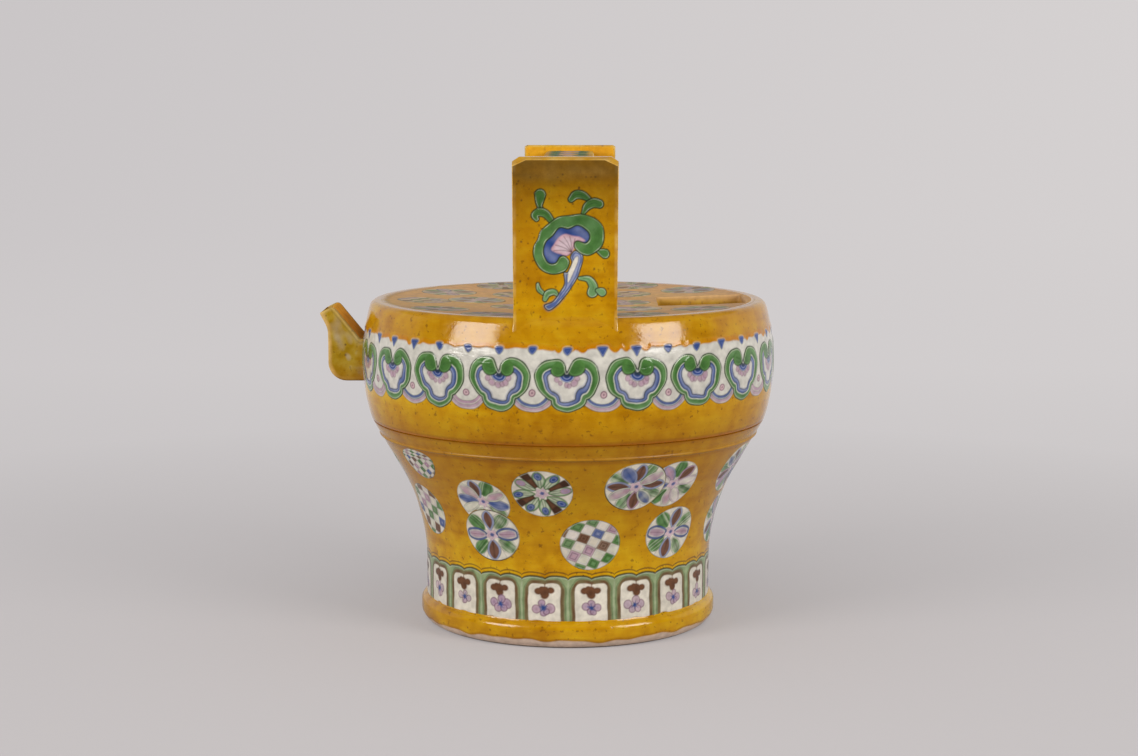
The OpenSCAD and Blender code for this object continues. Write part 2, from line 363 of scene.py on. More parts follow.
def grain(tree, coords, scale, detail=3.0, stretch=None):
    if stretch is not None:
        coords = addNode(tree, "ShaderNodeMapping", None, {"Vector": coords, "Scale": stretch}).outputs[0]
    made = addNode(tree, "ShaderNodeTexNoise", None, {"Vector": coords, "Scale": scale, "Detail": detail})
    return made.outputs["Fac"]


def ramp(tree, factor, stops):
    made = addNode(tree, "ShaderNodeValToRGB", None, {"Fac": factor})
    bar = made.color_ramp.elements
    while len(bar) < len(stops):
        bar.new(0.5)
    for step, (place, colour) in zip(bar, stops):
        step.position = place
        step.color = (*colour, 1)
    return made.outputs["Color"]


def spread(tree, value, low, high, outLow, outHigh):
    made = addNode(tree, "ShaderNodeMapRange", None, {
        "Value": value, "From Min": low, "From Max": high, "To Min": outLow, "To Max": outHigh})
    return made.outputs[0]


def newMaterial(name):  # with its nodes, its shader and the place on the piece
    material = bpy.data.materials.new(name)
    material.use_nodes = True
    tree = material.node_tree
    coords = addNode(tree, "ShaderNodeTexCoord").outputs["Object"]
    return material, tree, tree.nodes["Principled BSDF"], coords


glazeGrain = {"dust": 520, "brush": 300, "skin": 800, "relief": 0.0004,
              "poolShare": 0.85, "pitShare": 0.7, "dryShare": 0.6}


def glaze(name, look):  # coloured lead glaze with enamel painted over it
    material, tree, shader, coords = newMaterial(name)
    drift = grain(tree, coords, look["driftScale"], 2.0)
    mottle = grain(tree, coords, look["mottleScale"], 6.0)
    streak = grain(tree, coords, look["streakScale"], 4.0, look["streakStretch"])
    depth = calc(tree, "MULTIPLY", drift, look["shares"][0])
    depth = addShare(tree, depth, mottle, look["shares"][1])
    depth = addShare(tree, depth, streak, look["shares"][2])
    colour = ramp(tree, depth, look["tones"])
    pool = addNode(tree, "ShaderNodeAttribute", {"attribute_name": "pool"}).outputs["Fac"]
    pooled = calc(tree, "MULTIPLY", pool, glazeGrain["poolShare"], True)
    colour = mixTone(tree, pooled, colour, look["pooled"])
    cells = addNode(tree, "ShaderNodeTexVoronoi", None, {"Vector": coords, "Scale": look["pitScale"]})
    chance = addNode(tree, "ShaderNodeSeparateColor", None, {"Color": cells.outputs["Color"]}).outputs[0]
    chance = addShare(tree, chance, drift, 0.5)
    chosen = calc(tree, "GREATER_THAN", chance, look["pitLimit"])
    ragged = addShare(tree, cells.outputs["Distance"], mottle, 0.25)
    pits = calc(tree, "MULTIPLY", chosen, spread(tree, ragged, 0.2, 0.34, 1, 0))
    colour = mixTone(tree, calc(tree, "MULTIPLY", pits, glazeGrain["pitShare"]), colour, look["pit"])
    dust = spread(tree, grain(tree, coords, glazeGrain["dust"], 2.0), 0.63, 0.72, 0, look["dust"])
    colour = mixTone(tree, dust, colour, look["pit"])
    paint = addNode(tree, "ShaderNodeAttribute", {"attribute_name": "enamel"})
    brush = grain(tree, coords, glazeGrain["brush"], 5.0)
    strokes = spread(tree, brush, 0.3, 0.7, 0.8, 1.12)
    shade = addNode(tree, "ShaderNodeCombineColor", None, {0: strokes, 1: strokes, 2: strokes}).outputs[0]
    painted = mixTone(tree, 1.0, paint.outputs["Color"], shade, "MULTIPLY")
    colour = mixTone(tree, paint.outputs["Alpha"], colour, painted)
    tree.links.new(colour, shader.inputs["Base Color"])
    dry = addNode(tree, "ShaderNodeAttribute", {"attribute_name": "dry"}).outputs["Fac"]
    gloss = spread(tree, mottle, 0.35, 0.7, look["gloss"][0], look["gloss"][1])
    rough = addShare(tree, gloss, dry, glazeGrain["dryShare"], True)
    tree.links.new(rough, shader.inputs["Roughness"])
    skin = grain(tree, coords, glazeGrain["skin"], 2.0)
    swells = addShare(tree, calc(tree, "MULTIPLY", streak, 1.2), skin, 0.3)
    swells = calc(tree, "SUBTRACT", swells, calc(tree, "MULTIPLY", pits, 0.4))
    bump = addNode(tree, "ShaderNodeBump", None, {
        "Strength": look["bump"], "Distance": glazeGrain["relief"], "Height": swells})
    tree.links.new(bump.outputs[0], shader.inputs["Normal"])
    shader.inputs["IOR"].default_value = 1.5
    shader.inputs["Specular IOR Level"].default_value = look["shine"]
    return material


amberLook = {
    "driftScale": 22, "mottleScale": 150, "streakScale": 75, "streakStretch": (0.4, 0.4, 4.0),
    "shares": (0.38, 0.4, 0.22),
    "tones": [(0.38, tone(166, 114, 0)), (0.5, tone(192, 142, 2)), (0.62, tone(206, 164, 8))],
    "pooled": tone(138, 84, 8), "pit": tone(92, 52, 10), "pitScale": 380, "pitLimit": 1.15, "dust": 0.55,
    "gloss": (0.07, 0.2), "bump": 0.3, "shine": 0.4,
}
scuffedLook = {
    "driftScale": 60, "mottleScale": 220, "streakScale": 130, "streakStretch": (1, 1, 1),
    "shares": (0.5, 0.35, 0.15),
    "tones": [(0.38, tone(128, 98, 8)), (0.48, tone(164, 128, 16)), (0.56, tone(178, 148, 50)),
              (0.66, tone(186, 172, 122))],
    "pooled": tone(150, 80, 4), "pit": tone(80, 56, 24), "pitScale": 330, "pitLimit": 1.12, "dust": 0.4,
    "gloss": (0.45, 0.6), "bump": 0.2, "shine": 0.08,
}


def bareClay(name):
    material, tree, shader, coords = newMaterial(name)
    cloud = grain(tree, coords, 35, 6.0)
    tones = [(0.3, tone(160, 142, 130)), (0.55, tone(192, 176, 164)), (0.75, tone(208, 196, 186))]
    colour = ramp(tree, cloud, tones)
    specks = spread(tree, grain(tree, coords, 900, 1.0), 0.66, 0.72, 0, 0.6)
    colour = mixTone(tree, specks, colour, tone(96, 76, 62))
    tree.links.new(colour, shader.inputs["Base Color"])
    tree.links.new(spread(tree, cloud, 0.3, 0.7, 0.75, 0.92), shader.inputs["Roughness"])
    bump = addNode(tree, "ShaderNodeBump", None, {
        "Strength": 0.5, "Distance": 0.0003, "Height": grain(tree, coords, 500, 4.0)})
    tree.links.new(bump.outputs[0], shader.inputs["Normal"])
    return material


amberGlaze = glaze("amberGlaze", amberLook)
scuffedGlaze = glaze("scuffedGlaze", scuffedLook)
biscuitClay = bareClay("biscuitClay")


def seat(piece, material, slot, *nodes):  # finish, body and the solid that the piece stands for
    piece.data.materials.append(material)
    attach(piece, "root")
    if nodes:
        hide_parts(*nodes)


# Foot ring, its glaze ending in an uneven line above the bare clay
footLook = {"columns": 640, "round": 5.5, "inset": 2.6, "standWidth": 12.6, "slab": 6.5, "ledge": 4,
            "shoulder": 3.4, "gap": 0.8, "glazeEnd": 3.7, "seed": 3}


def makeFoot():
    look = footLook
    rng = np.random.default_rng(look["seed"])
    centre = toeRadius - look["round"]
    swell, rise = toeRadius - bodyForm["waistRadius"], look["shoulder"]
    lean = 2 * math.atan2(swell, rise)
    start = -math.degrees(math.acos(1 - look["inset"] / look["round"]))
    stand = toeRadius - look["inset"]
    toe = arcPoints(centre, look["round"], look["round"], start, 0, 18)
    bend = rise / math.sin(lean)
    neck = arcPoints(toeRadius - bend, toeTop - rise, bend, 0, math.degrees(lean), 12)
    inner = stand - look["standWidth"]
    back = [(inner + look["ledge"], footTop), (inner + look["ledge"], footTop - look["slab"]),
            (inner, footTop - look["slab"]), (inner, 0.4), (inner + 0.4, 0)]
    toe[0] = (stand + 0.2, look["gap"])
    profile = np.vstack([[(stand - 1.2, 0)], toe, neck, [(bodyForm["waistRadius"] - 0.3, footTop)], back])
    counts = [look["columns"]] * (2 + len(toe) + len(neck)) + [look["columns"] // 4] * len(back)
    ring, turn = turnGrid(counts)
    canvas = newCanvas(turn, profile[ring, 1])
    edge = look["glazeEnd"] + ripple(turn, rng, (3, 5, 8, 13, 21, 34), 1.0)
    under = (ring > len(toe) + len(neck) + 2) | (ring == 0)
    bare = np.where(under, -5, canvas["y"] - edge)
    lay(canvas, bare, "biscuit", soft=0.5)
    # umber on the two lowest rings is a painted contact shadow under the foot
    lay(canvas, np.where(ring < 2, canvas["y"] - 0.9, 5), "umber", soft=0.5, strength=0.75)
    canvas["dry"] = unit(0.5 - bare)
    canvas["relief"] += np.where(under, 0, 0.25 * unit(0.5 + bare / 1.2))
    canvas["pool"] = np.where(under, 0, 0.12 + 0.5 * unit(1 - np.abs(bare - 0.6) / 0.9))
    piece = turnedPiece("footRing", profile, counts, canvas, ring, turn, True)
    seat(piece, amberGlaze, "amber_glaze", "foot_ring")


makeFoot()
print("foot ring done")

# Lower wall with the row of flower panels above the foot
panel = {
    "count": 20, "columns": 72, "rows": 84, "bandTop": 38.0, "fieldHalf": 7.3, "fieldTop": 28.5,
    "outerTop": 31.2, "headZ": 26.0, "flowerZ": 18.8, "corner": 2.2, "border": 1.8, "joint": 10.5,
    "turn": 0.7, "seed": 11,
    "lobes": [(-2.7, 0.3, 1.9, 0.85), (2.7, 0.5, 1.8, 0.85), (0.2, -1.6, 1.9, 1.0), (-0.1, 0.0, 2.4, 1.0),
              (-1.3, 1.5, 1.3, 0.8)],  # place, radius and tallness
    "petals": [(0, 3.2, 2.0), (90, 2.3, 1.7), (180, 3.2, 2.0), (255, 2.2, 1.7),
               (300, 2.3, 1.5)],  # angle, reach and size
}


def panelTop(x, base, swing, middle, span):  # two-lobed bracket with a cusp in the middle
    return base + swing * np.sqrt(unit(1 - ((np.abs(x) - middle) / span) ** 2))


def paintPanel(canvas, rng):
    look = panel
    handDrawn(canvas, rng, 0.16)
    x, z = canvas["x"], canvas["y"]
    top = panelTop(x, look["fieldTop"], 1.3, 3.8, 4.4)
    outer = panelTop(x, look["outerTop"], 1.9, 5.2, 5.6)
    side = np.abs(x) - look["fieldHalf"] + look["corner"]
    rise = z - top + look["corner"]
    rounded = np.hypot(np.maximum(side, 0), np.maximum(rise, 0))
    field = rounded + np.minimum(np.maximum(side, rise), 0) - look["corner"]
    border = field - look["border"]
    above = z - outer
    foot = toeTop - z + 0.6 * np.sin(0.5 * x + rng.uniform(0, 6))
    foot = foot + 0.4 * np.sin(0.23 * x + rng.uniform(0, 6))

    def put(depth, colour, **how):  # not below the uneven line of the foot
        lay(canvas, np.maximum(depth, foot), colour, **how)

    put(above, "sage", rise=0.12)
    put(np.maximum(np.abs(np.abs(x) - look["joint"]) - 0.3, above + 1.5), "paleLine", strength=0.2)
    uneven = 0.5 + 0.5 * np.sin(0.9 * x + rng.uniform(0, 6)) * np.sin(0.45 * z + rng.uniform(0, 6))
    put(np.abs(border - 0.5) - 0.22, "deepGreen", strength=0.5, rise=-0.1)
    put(border - 0.2, "olive", strength=0.45)
    put(border + 0.4 * uneven, "brown", soft=0.7, strength=0.5 + 0.35 * uneven)
    put(np.abs(field - 0.9) - 0.35, "umber", soft=0.9, strength=0.45 * uneven)
    put(field, "ivory", rise=0.05)
    put(np.abs(above) - 0.4, "outline", strength=0.85, rise=-0.14)
    put(np.abs(above - 1.7) - 0.28, "umber", strength=0.75, rise=-0.1)
    put(np.abs(above + 0.6) - 0.15, "paleLine", strength=0.5)
    # hanging cloud head
    dx, dz = rng.uniform(-0.5, 0.5), look["headZ"] + rng.uniform(-0.4, 0.4)
    lobes = [spot(canvas, dx + x0, dz + z0, size, tall) for x0, z0, size, tall in look["lobes"]]
    head = np.minimum.reduce(lobes)
    stalk = lineGap(canvas, [(0, look["fieldTop"] + 1.0), (dx, dz + 1.1)]) - 0.3
    lay(canvas, stalk, "brown", strength=0.7)
    lay(canvas, head, "brown", soft=0.7, rise=0.08)
    lay(canvas, spot(canvas, dx + 0.3, dz - 0.7, 1.4), "umber", soft=1.8, strength=0.5)
    lay(canvas, np.abs(head + 0.5) - 0.14, "umber", soft=0.6, strength=0.5)
    # flower below it
    dx, dz = rng.uniform(-0.6, 0.6), look["flowerZ"] + rng.uniform(-0.6, 0.6)
    bloom, loaded = rng.uniform(0.78, 1.02), rng.uniform(0.6, 0.95)
    for angle, reach, size in look["petals"]:
        angle = math.radians(angle + rng.uniform(-22, 22))
        reach, size = reach * bloom, size * bloom * rng.uniform(0.85, 1.15)
        petal = spot(canvas, dx + reach * math.cos(angle), dz + reach * math.sin(angle), size)
        lay(canvas, petal, rng.choice(["lilac", "mauve", "mauve"]), soft=0.7, strength=loaded, rise=0.04)
        lay(canvas, np.abs(petal + 0.8) - 0.3, "paleLilac", soft=0.8, strength=0.35)
        lay(canvas, np.abs(petal) - 0.18, "aubergine", strength=0.8, rise=-0.05)
    lay(canvas, spot(canvas, dx, dz, rng.uniform(0.9, 1.4)), "blue", soft=1.0, strength=0.9)
    lay(canvas, spot(canvas, dx, dz, 0.6), "deepBlue", soft=0.6, strength=0.9)
    for angle in rng.uniform(0, 6.28, 5):
        tip = (dx + 1.9 * math.cos(angle), dz + 1.9 * math.sin(angle))
        lay(canvas, lineGap(canvas, [(dx, dz), tip]) - 0.18, "deepBlue", strength=0.7)


def makePanels():
    rng = np.random.default_rng(panel["seed"])
    columns = panel["count"] * panel["columns"]
    heights = np.linspace(toeTop, panel["bandTop"], panel["rows"])
    turn = np.tile(turns(columns), len(heights))
    canvas = newCanvas(turn, np.repeat(heights, columns))
    paintCells(canvas, turn, panel, bodyForm["waistRadius"], 0.5, paintPanel, rng)
    canvas["pool"] = flareWarmth(canvas["y"])
    paintedBand("panelBand", columns, heights, wallRadius, canvas)


def flareWarmth(z):  # the glaze is thicker and browner up the flare
    return 0.6 * unit((z - 33) / 40)


def makeLowerWall():
    form = bodyForm
    lineZ = seamZ - form["lineDrop"]
    lineX = float(wallRadius(lineZ))
    lean = math.degrees(form["flareLean"])
    plain = np.concatenate([np.arange(panel["bandTop"], lineZ - 1.4, 1.5), [lineZ - 1.0]])
    bead = arcPoints(lineX - 0.3, lineZ, form["lineRadius"], -lean - 62, -lean + 62, 7)
    neck = np.arange(lineZ + 1.1, seamZ - 1.4, 0.8)
    lip = seamZ - 1.0
    walls = [np.stack([wallRadius(plain), plain], 1), bead, np.stack([wallRadius(neck), neck], 1),
             [(float(wallRadius(lip)) - 0.1, lip), (form["seamRadius"] - 0.3, seamZ - 0.3),
              (form["seamRadius"] - form["seamGroove"], seamZ)]]
    inside = np.linspace(seamZ, footTop, 24)
    inset = form["wall"] / math.cos(form["flareLean"])
    thick = np.interp(inside, [form["waistTop"], form["curveTop"]], [form["wall"], inset])
    walls.append(np.stack([wallRadius(inside) - thick, inside], 1))
    profile = np.vstack(walls)
    counts = [form["lowerColumns"]] * len(profile)
    ring, turn = turnGrid(counts)
    z = profile[ring, 1]
    canvas = newCanvas(turn, z)
    onOutside = ring < len(profile) - len(inside)
    seamPool = 0.5 * unit(1 - (seamZ - z) / 1.6) + 0.4 * unit(1 - np.abs(z - lineZ + 1.6) / 1.2)
    canvas["pool"] = np.where(onOutside, unit(seamPool + flareWarmth(z)), 0.4)
    canvas["dry"] = 0.4 * onOutside * unit(1.6 - np.abs(z - lineZ))
    piece = turnedPiece("lowerWall", profile, counts, canvas, ring, turn, False)
    seat(piece, amberGlaze, "amber_glaze", "lower_wall")


makePanels()
makeLowerWall()
print("lower wall and its panels done")

# Shoulder with the band of cloud lappets
lappet = {
    "count": 20, "columns": 96, "rows": 94, "bandLow": 110.4, "bandHigh": 141.2, "middle": 123.4,
    "scroll": [(0, 5.4), (-0.6, 6.8), (-1.2, 8.6), (-2.6, 10.4), (-5.4, 11.1), (-9.4, 10.3),
               (-12.6, 7.6), (-14.0, 3.6), (-13.3, -0.5), (-11.5, -3.8), (-9.3, -5.8), (-7.6, -6.6)],
    "lobe": [(-7.6, -6.6), (-7.0, -8.7), (-4.6, -10.9), (0, -12.0), (4.6, -10.9), (7.0, -8.7),
             (7.6, -6.6)],
    "greenWidth": 2.7, "scrollExtra": 0.9, "blueWidth": 2.2, "head": (3.9, 6.9, 3.3), "glazeEnd": 15.1,
    "waist": (7.6, -6.6), "waistReach": 7.0, "waistThin": 0.3, "gapRadius": 10.4, "runs": 46,
    "fringe": (206, 232, 258, 284, 310, 334), "turn": 0.7, "seed": 7,
}


def paintGap(canvas, rng):  # white lens with nested arcs between two lappets
    handDrawn(canvas, rng, 0.2)
    ring = spot(canvas, 0, -2.0, 0)
    whole = lappet["gapRadius"]
    low = np.minimum(ring - whole, -3.0 - canvas["y"])
    lay(canvas, np.maximum(low, ring - whole - 40.0 * (canvas["y"] > -4)), "chalk", rise=0.04)
    arc = np.maximum(0, canvas["y"] + 3.0)
    first, second = ("blue", "lilac") if rng.random() < 0.72 else ("lilac", "lilac")
    lay(canvas, np.abs(ring - 9.5) - 0.8 + arc, second, strength=0.85, rise=0.05)
    lay(canvas, np.abs(ring - 7.7) - 0.85 + arc, first, strength=0.95, rise=0.05)
    for radius in (6.8, 8.6, whole):
        lay(canvas, np.abs(ring - radius) - 0.16 + arc, "outline", strength=0.5, rise=-0.08)
        lay(canvas, np.abs(ring - radius + 0.4) - 0.16 + arc, "paleLine", strength=0.7)
    eye = spot(canvas, rng.uniform(-0.5, 0.5), -4.6 + rng.uniform(-0.5, 0.5), 0)
    lay(canvas, eye - 1.5, "rose", strength=0.7)
    lay(canvas, np.abs(eye - 1.4) - 0.25, "aubergine", strength=0.85, rise=-0.06)
    lay(canvas, eye - 0.5, "aubergine", strength=0.7)


def paintLappet(canvas, rng):
    look = lappet
    handDrawn(canvas, rng, 0.28)
    mirrored = [(-x, y) for x, y in reversed(look["scroll"])]
    outline = np.vstack([flow(look["scroll"]), flow(look["lobe"])[1:], flow(mirrored)[1:-1]])
    rim = np.vstack([flow(look["scroll"][3:]), flow(look["lobe"])[1:], flow(mirrored[:-3])[1:]])
    edge = loopDepth(canvas, outline)
    reach = lineGap(canvas, rim)
    x, y = canvas["x"], canvas["y"]
    green = look["greenWidth"] + look["scrollExtra"] * unit((y + 3) / 9)
    green += 0.25 * np.sin(0.3 * x + rng.uniform(0, 6))
    waist = np.hypot(np.abs(x) - look["waist"][0], y - look["waist"][1])
    thin = 1 - look["waistThin"] * unit(1 - waist / look["waistReach"])
    green *= thin
    blue = green + look["blueWidth"] * thin + 0.35 * np.sin(0.25 * x + 0.2 * y + rng.uniform(0, 6))

    def put(depth, colour, inset=0.0, **how):  # only inside the lappet
        lay(canvas, np.maximum(edge + inset, depth), colour, **how)

    lay(canvas, edge, "chalk")
    put(reach - blue, "blue", rise=0.06)
    wash = 0.5 + 0.5 * np.sin(0.35 * x + 0.3 * y + rng.uniform(0, 6))
    put(np.abs(reach - blue + 0.7) - 0.3, "paleBlue", soft=1.0, strength=0.3 + 0.6 * wash)
    put(np.abs(reach - blue) - 0.22, "outline", inset=1, strength=0.75, rise=-0.1)
    put(np.abs(reach - blue - 0.4) - 0.16, "paleBlue", inset=1, strength=0.6)
    put(reach - green, "green", rise=0.1)
    put(reach - green, "leafGreen", strength=0.45 * unit(-(y + 3) / 6))
    put(np.abs(reach - green + 0.7) - 0.5, "deepGreen", soft=1.4, strength=0.5)
    put(np.abs(reach - 1.5) - 0.5, "leafGreen", soft=1.4, strength=0.5 * (1.2 - wash))
    put(np.abs(reach - 0.62 * green) - 0.1, "deepGreen", strength=0.4 * wash)
    put(np.abs(reach - green - 0.1) - 0.22, "paleLine", inset=0.8, strength=0.85, rise=-0.08)
    put(np.abs(reach - green - 0.5) - 0.16, "outline", inset=0.8, strength=0.5)
    # lilac fringe and blue half round under the notch
    for angle in look["fringe"]:
        angle = math.radians(angle + rng.uniform(-6, 6))
        across = 5.0 * math.cos(angle) + rng.uniform(-0.3, 0.3)
        up = 4.2 + 4.6 * math.sin(angle) + rng.uniform(-0.4, 0.3)
        dab = spot(canvas, across, up, rng.uniform(0.8, 1.4), 1.1)
        lay(canvas, dab, "lilac", soft=1.2, strength=0.9)
        lay(canvas, np.abs(dab) - 0.12, "aubergine", soft=0.6, strength=0.75)
    bowl = spot(canvas, 0, 3.9, 0, 0.85)
    lay(canvas, np.maximum(bowl - 3.4, y - 4.8), "paleBlue", rise=0.04)
    lay(canvas, np.maximum(np.abs(bowl - 3.4) - 0.16, y - 4.0), "outline", strength=0.55, rise=-0.06)
    lay(canvas, np.maximum(bowl - 2.8, y - 4.8), "deepBlue")
    lay(canvas, np.maximum(np.abs(bowl - 1.6) - 0.22, y - 4.4), "paleBlue", strength=0.8)
    put(spot(canvas, 0, 4.4, 2.2, 0.5), "outline", soft=1.2, strength=0.7)
    # scroll heads hooked in over the blue
    hx, hy, size = look["head"]
    for side in (-1, 1):
        head = spot(canvas, side * hx, hy + rng.uniform(-0.2, 0.2), size + rng.uniform(-0.15, 0.15))
        upper = unit(1 - (y - hy + 0.5) / 1.6)
        put(head - 0.45, "outline", strength=0.85 * upper, rise=-0.1)
        put(head, "green", rise=0.1)
        put(spot(canvas, side * (hx - 1.2), hy - 1.0, 2.0), "deepGreen", soft=3.0, strength=0.4)
        put(np.abs(head + 0.5) - 0.13, "leafGreen", strength=0.5 * upper)
    lay(canvas, np.abs(edge + 0.55) - 0.16, "paleLine", strength=0.6)
    lay(canvas, np.abs(edge) - 0.22, "outline", strength=0.9, rise=-0.14)


def paintDrop(canvas, rng, pointed):  # blue drop at the edge of the glaze
    pointed = rng.random() < (0.7 if pointed else 0.35)
    wide, tall, full = (2.3, 4.3, 0.5) if pointed else (1.8, 3.4, 0.85)
    top = 16.0 + rng.uniform(-0.3, 0.2)
    lean = rng.uniform(-0.4, 0.4)
    outline = flow([(-wide, top - 0.5), (-0.4 * wide, top), (0.6 * wide, top), (wide, top - 0.6),
                    (full * wide + lean, top - 0.6 * tall), (lean, top - tall),
                    (lean - full * wide, top - 0.6 * tall)], True)
    edge = loopDepth(canvas, outline)
    lay(canvas, edge - 0.6, "paleLine", soft=0.5, strength=0.4)
    lay(canvas, edge - 0.3, "outline", soft=0.6, strength=0.45)
    lay(canvas, edge, "deepBlue", soft=0.5, rise=0.12)
    lay(canvas, np.abs(edge + 0.35) - 0.16, "paleBlue", strength=0.45)
    lay(canvas, edge + 1.0, "blue", soft=0.8, strength=0.7)


def makeLappets():
    look = lappet
    rng = np.random.default_rng(look["seed"])
    columns = look["count"] * look["columns"]
    heights = np.linspace(look["bandLow"], look["bandHigh"], look["rows"])
    turn = np.tile(turns(columns), len(heights))
    canvas = newCanvas(turn, np.repeat(heights, columns) - look["middle"])
    glazeEnd = look["glazeEnd"] + ripple(turn, rng, (20, 33, 47, 61, 90), 0.42)
    for place in rng.uniform(0, 2 * math.pi, look["runs"]):  # short runs of thick glaze
        away = np.abs(aside(turn, place)) * bellyRadius
        glazeEnd -= rng.uniform(0.5, 1.6) * unit(1 - (away / rng.uniform(1.2, 3.4)) ** 2)
    paintCells(canvas, turn, look, bellyRadius, 0.5, paintGap, rng)
    paintCells(canvas, turn, look, bellyRadius, 0, paintLappet, rng)
    runOver = glazeEnd - canvas["y"]
    cover = unit(0.5 - runOver / 0.5)
    canvas["cover"] *= 1 - cover
    canvas["relief"] += 0.22 * cover * unit(1 + runOver / 2.4)
    canvas["pool"] = 0.4 * unit(1 - np.abs(runOver + 0.5) / 1.5) * (runOver < 0.4)
    lay(canvas, np.maximum(runOver + 0.2, -1.6 - runOver), "drip", soft=1.8, strength=0.6)
    paintCells(canvas, turn, look, bellyRadius, 0.5, paintDrop, rng, True)
    paintCells(canvas, turn, look, bellyRadius, 0, paintDrop, rng, False)
    canvas["pool"] = np.maximum(canvas["pool"], shoulderWarmth(canvas["y"] + look["middle"]))
    paintedBand("lappetBand", columns, heights, shoulderRadius, canvas)


def shoulderWarmth(z):  # browner glaze in the seam and above it
    return unit(0.5 * unit(1 - (z - seamZ) / 1.6) + 0.7 * unit(1 - (z - seamZ) / 20)
                   + 0.38 * unit((z - 134) / 5))


def makeUpperWall():
    form, look = bodyForm, lappet
    over = np.arange(look["bandHigh"], roundZ, 1.0)
    turned = arcPoints(roundX, roundZ, form["shoulderRound"], math.degrees(roundLean) + 4, 90, 9)
    ledge = roofRadius - form["ledge"]
    ledgeZ = rimZ - form["slabHeight"]
    rest = [(roofRadius + 0.15, rimZ), (roofRadius + 0.15, ledgeZ), (ledge, ledgeZ)]
    inside = np.linspace(ledgeZ - (bellyRadius - form["wall"] - ledge), seamZ, 16)
    low = [(form["seamRadius"] - form["seamGroove"], seamZ), (form["seamRadius"] - 0.2, seamZ + 0.35),
           *((float(shoulderRadius(seamZ + up)), seamZ + up) for up in (0.9, 2.2))]
    under = np.linspace(seamZ + 3.8, look["bandLow"], 9)
    profile = np.vstack([np.stack([shoulderRadius(over), over], 1), turned, rest,
                         np.stack([shoulderRadius(inside, form["wall"]), inside], 1), low,
                         np.stack([shoulderRadius(under), under], 1)])
    counts = [form["upperColumns"]] * len(profile)
    ring, turn = turnGrid(counts)
    canvas = newCanvas(turn, profile[ring, 1])
    canvas["pool"] = shoulderWarmth(profile[ring, 1])
    lay(canvas, np.abs(canvas["y"] - seamZ - 0.3) - 0.5, "drip", soft=0.8, strength=0.75)
    piece = turnedPiece("upperWall", profile, counts, canvas, ring, turn, False)
    seat(piece, amberGlaze, "amber_glaze", "upper_wall")


makeLappets()
makeUpperWall()
print("shoulder and its lappets done")

# Painted roundels on the flare and the roof
# haze is the share of painted reflection of the pale backdrop laid over the matt roof roundels
roundel = {"grid": 84, "group": 9, "guides": 14, "edge": 0.5, "wallLift": 0.08, "coverLift": 0.2,
           "wide": 1.06, "tall": 0.97, "highest": seamZ - bodyForm["lineDrop"] - 1.1, "sink": 0.12,
           "matt": 1.8, "haze": 0.75, "wallSeed": 21, "roofSeed": 33}
wallRoundels = [  # turn from the front in degrees, height, kind, spin, radius, on top of its neighbour
    (-52.6, 83.6, "fine", 34, 11.4, 0), (-62.2, 57.5, "check", -14, 13.2, 0),
    (-29.4, 66.6, "mixed", -5, 12.8, 0), (-28.5, 51.0, "flower", 96, 13.0, 1),
    (-7.6, 72.8, "star", 32, 13.1, 0), (9.0, 48.0, "check", -24, 12.8, 0),
    (22.6, 75.3, "eight", 2, 13.6, 1), (36.4, 74.8, "open", 45, 13.0, 0),
    (42.2, 50.4, "flower", 80, 13.2, 0), (70.0, 76.0, "eight", 20, 13.4, 0),
    (77.0, 51.0, "flower", 30, 13.2, 0), (95.0, 75.0, "check", 12, 13.0, 0),
    (110.0, 52.0, "star", 8, 13.2, 0), (120.0, 76.5, "flower", 50, 13.4, 1),
    (134.0, 73.5, "eight", 10, 13.2, 0), (141.0, 49.0, "check", -30, 12.8, 0),
    (160.0, 75.0, "star", 15, 13.4, 0), (172.0, 50.0, "flower", 20, 13.2, 0),
    (186.0, 76.0, "check", 25, 13.0, 0), (203.0, 51.5, "eight", 40, 13.2, 0),
    (211.0, 75.5, "flower", 75, 13.4, 0), (229.0, 70.0, "mixed", 10, 13.4, 0),
    (237.0, 54.0, "star", 28, 13.0, 1), (254.0, 75.5, "eight", 5, 13.4, 0),
    (266.0, 52.0, "check", 18, 13.0, 0), (277.0, 76.0, "flower", 62, 13.2, 0),
]
roofRoundels = [  # place on the roof, kind, spin, radius, on top of its neighbour
    (-58, 36, "flower", 20, 13.2, 0), (-67, -3, "check", 15, 12.6, 0), (-43, 4, "eight", 40, 13.4, 1),
    (-57, -43, "flower", 70, 13.2, 0), (-33, 66, "star", 10, 13.2, 0), (-24, 33, "check", -20, 12.8, 0),
    (-22, -22, "flower", 35, 13.2, 0), (-33, -68, "eight", 15, 13.0, 0), (0, 57, "mixed", 5, 13.2, 0),
    (3, 12, "star", 25, 13.4, 0), (2, -47, "check", 30, 12.8, 0), (31, 68, "flower", 50, 13.0, 0),
    (58, 46, "eight", 60, 13.2, 0), (27, 35, "check", 8, 12.6, 0), (26, -4, "flower", 10, 12.4, 1),
    (30, -34, "open", 45, 13.0, 0), (32, -67, "star", 18, 13.0, 0), (60, -42, "flower", 65, 13.2, 0),
]
checkCells = {"check": 0.37, "fine": 0.27}  # cell size for a radius of one
petalOrders = {
    "flower": ["brown", "leaf", "loop", "leaf"] * 2,
    "eight": ["brown", "lilac", "wedge", "brown", "blue", "wedge"] * 2,
    "mixed": ["blue", "lilac", "leaf", "brown", "lilac", "blue", "white", "leaf", "white", "leaf"],
    "open": ["brown", "leaf", "lilac", "white", "blue", "leaf", "lilac", "white", "leaf", "white"],
}


def turnedAxes(canvas, angle):  # places along and across a direction
    along = canvas["x"] * math.cos(angle) + canvas["y"] * math.sin(angle)
    across = canvas["y"] * math.cos(angle) - canvas["x"] * math.sin(angle)
    return along, across


